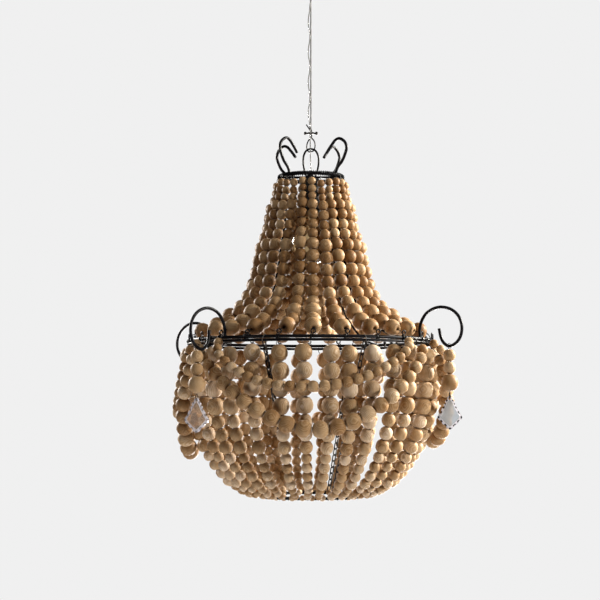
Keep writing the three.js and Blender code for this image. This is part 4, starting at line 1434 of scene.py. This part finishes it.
# %% One link
LINK_LENGTH = 14
LINK_WIDTH = 7.6
LINK_WIRE = 2
LINK_STEPS = 12
LINK_SIDES = 5
LINK_PITCH = LINK_LENGTH - 2 * LINK_WIRE
CHAIN_ANGLES = {"front_left": -20.9, "front_right": 24.1, "back_right": 159.1, "back_left": -155.9}


def build_link():
    """An oval of wire along Z, as a small closed tube."""
    straight = (LINK_LENGTH - LINK_WIDTH) / 2
    radius = (LINK_WIDTH - LINK_WIRE) / 2
    turns = [2 * math.pi * (k + 0.5) / LINK_STEPS for k in range(LINK_STEPS)]
    line = upright([
        (radius * math.cos(a), radius * math.sin(a) + math.copysign(straight, math.sin(a)))
        for a in turns
    ])
    return wire_piece("link", [line], LINK_WIRE, LINK_SIDES, dark_steel, True)


def build_link_tree():
    inputs = {"Link": ("Object", None), "Pitch": ("Float", 0.01)}
    tree, ins, out = new_tree("links along a line", inputs)
    inputs = {"Curve": ins["Geometry"], "Length": ins["Pitch"]}
    points = add_node(tree, "GeometryNodeCurveToPoints", inputs, mode="LENGTH").outputs
    index = add_node(tree, "GeometryNodeInputIndex").outputs[0]
    quarter = math_node(tree, "MULTIPLY", math_node(tree, "MODULO", index, 2), math.pi / 2)
    links = instances(tree, points["Points"], ins["Link"], points["Tangent"], quarter)
    finish_tree(tree, links, ins["Material"], out)
    return tree


link = build_link()
link_tree = build_link_tree()
inset = (LINK_LENGTH / 2 - LINK_WIRE) * MM
for side, angle in CHAIN_ANGLES.items():
    top = by_ring(STRAND_RING, angle, 0, -STRAND_RING["wire"] / 2)
    bottom = by_ring(BOTTOM_RING, angle, 0, BOTTOM_RING["wire"] / 2)
    along = (bottom - top).normalized() * inset
    values = {"Link": link, "Pitch": LINK_PITCH * MM, "Material": dark_steel}
    line = line_object([[top + along, bottom - along]])
    piece = grown(line, link_tree, values, f"chain_{side}_links")
    dress(shade(piece), "frame", "steel", f"chain_{side}")
bpy.data.objects.remove(link)
print("links on a chain:", len(piece.data.polygons) // (LINK_STEPS * LINK_SIDES))

# %% [markdown]
# ## Bail, crossbar, nut, holder and bulb
# An oval bail of wire stands on the crossbar inside the top ring. Below the bar, a bulb holder
# hangs from its nut with the bulb screwed up into it, almost hidden by the strings.

# %% Turned pieces
def solid_piece(name, mesh, material, sharp=SHARP_TURN):
    """An object of a mesh in metres, with its material and smooth shading."""
    mesh.materials.append(material)
    return shade(add_object(name, mesh), sharp)


def turned_piece(name, profile, segments, material, closed=False, at=(0, 0), sharp=SHARP_TURN):
    """A turned piece from (radius, height) pairs in millimetres, about a vertical axis."""
    mesh = turned_mesh(name, profile, segments, closed)
    mesh.transform(Matrix.Translation((at[0] * MM, at[1] * MM, 0)) @ Matrix.Scale(MM, 4))
    return solid_piece(name, mesh, material, sharp)


def bevelled_block(name, size, height, bevel, material):
    """A rectangular bar with rounded edges on the axis, in millimetres."""
    made = bmesh.new()
    bmesh.ops.create_cube(made, size=1)
    bmesh.ops.scale(made, vec=size, verts=made.verts)
    bmesh.ops.translate(made, vec=(0, 0, height), verts=made.verts)
    bmesh.ops.bevel(
        made, geom=list(made.edges), offset=bevel, segments=3, profile=0.5, affect="EDGES"
    )
    bmesh.ops.scale(made, vec=(MM, MM, MM), verts=made.verts)
    return solid_piece(name, mesh_from(made, name), material)


def joined(name, pieces, material):
    """Joins mesh objects into one object with one material."""
    made = bmesh.new()
    for part in pieces:
        made.from_mesh(part.data)
        bpy.data.objects.remove(part)
    return solid_piece(name, mesh_from(made, name), material)


print("turned piece helpers ready")

# %% Bail and crossbar
BAR_TOP = TOP_RING["height"] + 1.5
BAR_LENGTH = 2 * (TOP_RING["radius"] - TOP_RING["wire"] / 2)
BAIL_SHARES = [(0.6, 0), (0.84, 0.22), (1, 0.5), (0.93, 0.76), (0.57, 0.945), (0, 1)]
BAIL_HALF = 11.6
BAIL_TOP = -303.5
BAIL_WIRE = 3
bail_half = [(x * BAIL_HALF, lerp(BAR_TOP, BAIL_TOP, z)) for x, z in BAIL_SHARES]
bail_line = smoothed(upright(bail_half, -1) + upright(bail_half[-2::-1]), 1.2)
dark_piece("frame", ["bail"], "bail_wire", [bail_line], BAIL_WIRE, WIRE_SIDES)
piece = bevelled_block(
    "crossbar_strip", (BAR_LENGTH, 8, 3), TOP_RING["height"], 0.7, dark_wire
)
dress(piece, "frame", "dark_wire", "crossbar")
print("bail and crossbar ready")

# %% Nut, holder and bulb
HOLDER_TOP, HOLDER_LENGTH, SOCKET_DEPTH = -348.8, 52, 26
HOLDER_END = HOLDER_TOP - HOLDER_LENGTH
BULB_TOP = HOLDER_END + SOCKET_DEPTH - FIT
BULB_LENGTH = 104
BULB_END = BULB_TOP - BULB_LENGTH
BULB_RADIUS = 30
BULB_ARC, BULB_STEPS = math.radians(133.2), 18


def raised(profile, height):
    """A profile lifted to a height."""
    return [(radius, height + z) for radius, z in profile]


nut = raised([(0, 0), (5.8, 0), (5.8, 6.4), (5.0, 7.6), (3.2, 8), (0, 8)], BAR_TOP)
piece = turned_piece("holder_nut_turned", nut, 24, dark_wire)
dress(piece, "frame", "dark_wire", "holder_nut")
holder = raised(
    [(0, SOCKET_DEPTH), (13.4, SOCKET_DEPTH), (13.4, 0), (16.4, 0), (17, 0.6), (17, 7), (15.8, 8),
     (15.8, 24), (17, 25)], HOLDER_END,
) + raised([(17, -8), (15.5, -4), (12, -0.6), (11.4, 0), (0, 0)], HOLDER_TOP)
piece = turned_piece(
    "bulb_holder_turned", holder, 32, holder_plastic, sharp=math.radians(35)
)
dress(piece, "frame", "holder_plastic", "bulb_holder")
arcs = [BULB_ARC * k / BULB_STEPS for k in range(1, BULB_STEPS + 1)]
globe = [(BULB_RADIUS * math.sin(a), BULB_RADIUS * (1 - math.cos(a))) for a in arcs]
neck = [(15.5, -36), (13.3, -29), (12.8, -26)]
for z in range(-24, -4, 4):
    neck += [(12.8, z), (12.1, z + 1), (12.1, z + 2), (12.8, z + 3)]
neck += [(10, -2.5), (5, 0), (0, 0)]
bulb = raised([(0, 0), *globe], BULB_END) + raised(neck, BULB_TOP)
piece = turned_piece("bulb_glass_turned", bulb, 48, bulb_glass, sharp=math.radians(60))
dress(piece, "frame", "bulb_glass", "bulb")
print("bulb's lowest point:", round(BULB_END, 1))

# %% [markdown]
# ## Cable, clamp, ferrule and flex
# The cable is six thin strands laid round a core. The Geometry Nodes tree carries a ring of six
# small circles along the line and lets the curve's tilt grow with its length, which lays them in
# a helix. Its lower eye holds the bail, and a clamp with an arm and two small knobs closes it.

# %% Cable
CABLE = 2
CABLE_CORE = 0.8
EYE_TURN = 45
EYE_REACH, UPPER_EYE_REACH = 18, 14
EYE_SHARES = [(0.09, 0.16), (0.36, 0.36), (0.5, 0.62), (0.43, 0.86), (0.26, 0.985)]
UPPER_EYE_SHARES = [(0.26, 0.2), (0.5, 0.55), (0.45, 0.8), (0.26, 0.96)]
UPPER_EYE_START = -60
RUNS_GAP = 1.3
EYE_GAP = 1.2
HOOK_WIRE = 4
HOOK_SEAT = 0.9
HOOK_TOP, HOOK_END = -2.3, -42
CLAMP_HEIGHT = -279.5
CLAMP_HALF = 3
LAY_LENGTH = 15
STRANDS = 6


def build_cable_tree():
    inputs = {
        "Diameter": ("Float", 0.002), "Lay Length": ("Float", 0.015), "Strands": ("Int", 6),
    }
    tree, ins, out = new_tree("strands laid along a line", inputs)
    ring = circle(tree, ins["Strands"], math_node(tree, "DIVIDE", ins["Diameter"], 3))
    strand = circle(tree, 6, math_node(tree, "DIVIDE", ins["Diameter"], 5.6))
    inputs = {"Points": ring, "Instance": strand}
    centres = add_node(tree, "GeometryNodeInstanceOnPoints", inputs).outputs[0]
    reached = add_node(tree, "GeometryNodeSplineParameter").outputs["Length"]
    turns = math_node(tree, "DIVIDE", reached, ins["Lay Length"])
    inputs = {"Curve": ins["Geometry"], "Tilt": math_node(tree, "MULTIPLY", turns, 2 * math.pi)}
    twisted = add_node(tree, "GeometryNodeSetCurveTilt", inputs).outputs[0]
    finish_tree(tree, carried(tree, twisted, realized(tree, centres)), ins["Material"], out)
    return tree


def cable_points():
    """The cable's route: tail, lower eye, clamp, straight up, ferrule and upper eye."""
    beside = (CABLE + RUNS_GAP) / 2
    eye_angle = TURN / 4 - EYE_TURN
    top, bottom = CLAMP_HEIGHT - CLAMP_HALF, BAIL_TOP - (BAIL_WIRE + CABLE) / 2 - FIT - EYE_GAP
    eye = [(x * EYE_REACH, lerp(top, bottom, fall)) for x, fall in EYE_SHARES]
    end = HOOK_END + HOOK_WIRE * HOOK_SEAT
    upper = [(x * UPPER_EYE_REACH, lerp(UPPER_EYE_START, end, up)) for x, up in UPPER_EYE_SHARES]
    turned = [(-beside, CLAMP_HEIGHT + z) for z in (4.5, 2.5, -2.5)]
    turned += [(-x, z) for x, z in eye] + [(0, bottom)] + eye[::-1]
    turned += [(beside, CLAMP_HEIGHT + z) for z in (-2.5, 2.5)]
    straight = [(0, z) for z in (-272, -260, -200, -140, -90, -76)]
    straight += [(beside, z) for z in (-70, -59)] + upper + [(0, end)]
    return (
        upright([(-7, CLAMP_HEIGHT + 13.5)])
        + [place(x, eye_angle, z) for x, z in turned]
        + upright(straight)
        + upright([*upper[::-1], (beside, -59), (beside, -69)], -1)
    )


cable_tree = build_cable_tree()
cable_line = [smoothed(cable_points(), 1)]
values = {
    "Diameter": CABLE * MM, "Lay Length": LAY_LENGTH * MM, "Strands": STRANDS,
    "Material": dark_steel,
}
cable = grown(line_object(cable_line), cable_tree, values, "cable_strands")
core = wire_piece("cable_core", cable_line, CABLE_CORE, 6, dark_steel)
dress(shade(cable), "suspension", "steel", "cable")
dress(core, "suspension", "steel")
print("cable faces:", len(cable.data.polygons))

# %% Ferrule and clamp
ARM_REACH = 9.5
KNOB_REACH = 8.5
FERRULE = [(2.95, -68), (3.9, -68), (4.2, -67.4), (4.2, -66), (3.8, -65.2), (3.8, -62.8),
           (4.2, -62), (4.2, -60.6), (3.9, -60), (2.95, -60)]
KNOB = [(0, -2.2), (1.7, -1.9), (2.5, -0.9), (2.5, 0.9), (1.7, 1.9), (0, 2.2)]

piece = turned_piece(
    "cable_ferrule_turned", FERRULE, 28, dull_steel, closed=True, sharp=math.radians(35)
)
dress(piece, "suspension", "steel", "cable_ferrule")
arm = upright([(-ARM_REACH, CLAMP_HEIGHT), (ARM_REACH, CLAMP_HEIGHT)])
parts = [
    bevelled_block("saddle", (9, 6.4, 3), CLAMP_HEIGHT, 0.6, dark_steel),
    wire_piece("arm", [arm], 2.5, 10, dark_steel),
]
for sign in (-1, 1):
    knob = turned_piece("knob", KNOB, 12, dark_steel)
    spot = upright([(sign * KNOB_REACH, CLAMP_HEIGHT)])[0]
    knob.data.transform(Matrix.Translation(spot) @ Matrix.Rotation(math.pi / 2, 4, "Y"))
    parts.append(knob)
dress(joined("cable_clamp_block", parts, dark_steel), "suspension", "steel", "cable_clamp")
print("clamp ready")

# %% Flex
FLEX = 1.8
FLEX_CORE = 0.7
FLEX_STEP = 1.5
WAVE_POINTS = 25
POINTS_PER_WAVE = 6
WAVE_TOP, WAVE_PITCH = -84, 47


def flex_points():
    """The flex from the rose's outlet down beside the cable, in waves, to the bail."""
    points = [(0, -14, -43.05), (0, -14, -44.85), (0, -6, -60), (0, -6, -68)]
    for k in range(WAVE_POINTS):
        sway = math.cos(2 * math.pi * k / POINTS_PER_WAVE)
        fall = WAVE_PITCH * k / POINTS_PER_WAVE
        points.append((-2.6 + 1.4 * sway, -1.5 - 0.8 * sway, WAVE_TOP - fall))
    return points + [(-1, -4.6, -276.5), (-1, -4.6, -282.5), (-1, -3.1, -294.5),
                     (-1, -3.1, -300.95), (-1, -3.1, -302.75)]


LOWER_FLEX = [(-1, -3.1, -304.25), (-1, -3.1, -306.05), (0, 0, -335.4), (0, 0, -337.2)]
for name, points, body, node in (
    ("flex_run", flex_points(), "suspension", "flex"),
    ("flex_run_lower", LOWER_FLEX, "frame", "flex_lower"),
):
    line = [smoothed([Vector(p) * MM for p in points], FLEX_STEP)]
    dress(wire_piece(name, line, FLEX, 10, clear_flex), body, "clear_flex", node)
    dress(wire_piece(f"{name}_core", line, FLEX_CORE, 6, dull_steel), body, "steel")
print("flex ready")

# %% [markdown]
# ## Ceiling rose and hook
# The photograph doesn't show what holds the cable, so this is what a light of this kind has: a
# shallow painted rose against the ceiling, with a hook through its middle and a small outlet for
# the flex.

# %% Rose and hook
ROSE_RADIUS = 40
ROSE_DEPTH = 20
ROSE_WALL = 2
STEM_RADIUS = 9
ROSE_SHARES = [(1, 0.4), (0.97, 0.56), (0.86, 0.78), (0.7, 0.9), (0.56, 0.95)]
OUTLET = [(0, -42.3), (1.9, -42.3), (2.3, -41.5), (2.6, -38), (2.6, -18), (0, -18)]
HOOK_SHARES = [(0, 0.0), (0, 0.5), (0.75, 0.68), (1, 0.82), (0.72, 0.945), (0, 1),
               (-0.72, 0.945), (-1, 0.82)]
HOOK_REACH = 6

outside = [(r * ROSE_RADIUS, -fall * ROSE_DEPTH) for r, fall in ROSE_SHARES]
inside = [(r - ROSE_WALL, z + 1) for r, z in outside]
profile = [(0, -ROSE_WALL), (ROSE_RADIUS - ROSE_WALL, -ROSE_WALL), *inside]
profile += [(STEM_RADIUS, ROSE_WALL - ROSE_DEPTH), (STEM_RADIUS, -ROSE_DEPTH)]
profile += [*outside[::-1], (ROSE_RADIUS, 0), (0, 0)]
rounded = math.radians(40)
rose = turned_piece("rose_pot", profile, 64, rose_paint, sharp=rounded)
outlet = turned_piece("outlet", OUTLET, 24, rose_paint, at=(0, -14), sharp=rounded)
piece = joined("ceiling_rose_pot", [rose, outlet], rose_paint)
dress(piece, "ceiling_fixing", "dark_painted_metal", "ceiling_rose")
hook = [(y * HOOK_REACH, lerp(HOOK_TOP, HOOK_END, fall)) for y, fall in HOOK_SHARES]
hook_line = smoothed([Vector((0, y, z)) * MM for y, z in (*hook, (-HOOK_REACH, -30))], 1.2)
dark_piece(
    "ceiling_fixing", ["ceiling_hook"], "ceiling_hook_wire", [hook_line], HOOK_WIRE, WIRE_SIDES
)
print("rose and hook ready")

# %% [markdown]
# ## Floor
# The floor is far below, out of the camera's view. It shows from above only, so that it doesn't
# hide the light from a camera that looks up from under it.

# %% Floor
FLOOR_HEIGHT = -2.3
FLOOR_RADIUS = 2.6
FLOOR_SHADES = ((0.28, 0.28, 0.28), (0.3, 0.3, 0.3))


def build_floor_material():
    """A pale matt finish that is clear from behind."""
    material, tree, shader = new_material("pale floor")
    colour = two_shades(tree, handled(tree, Mottle=3.0)["Mottle"], *FLOOR_SHADES)
    fill(tree, shader, {"Base Color": colour, "Roughness": 0.9})
    behind = add_node(tree, "ShaderNodeNewGeometry").outputs["Backfacing"]
    clear = add_node(tree, "ShaderNodeBsdfTransparent").outputs[0]
    inputs = {0: behind, 1: shader.outputs[0], 2: clear}
    one_sided = add_node(tree, "ShaderNodeMixShader", inputs)
    output = next(n for n in tree.nodes if n.type == "OUTPUT_MATERIAL")
    fill(tree, output, {"Surface": one_sided.outputs[0]})
    return material


made = bmesh.new()
bmesh.ops.create_circle(made, cap_ends=True, radius=FLOOR_RADIUS, segments=96)
bmesh.ops.translate(made, vec=(0, 0, FLOOR_HEIGHT), verts=made.verts)
floor = add_object("floor", mesh_from(made, "floor", build_floor_material()))
bpy.data.objects.remove(bead)
print("floor at", FLOOR_HEIGHT, "m")
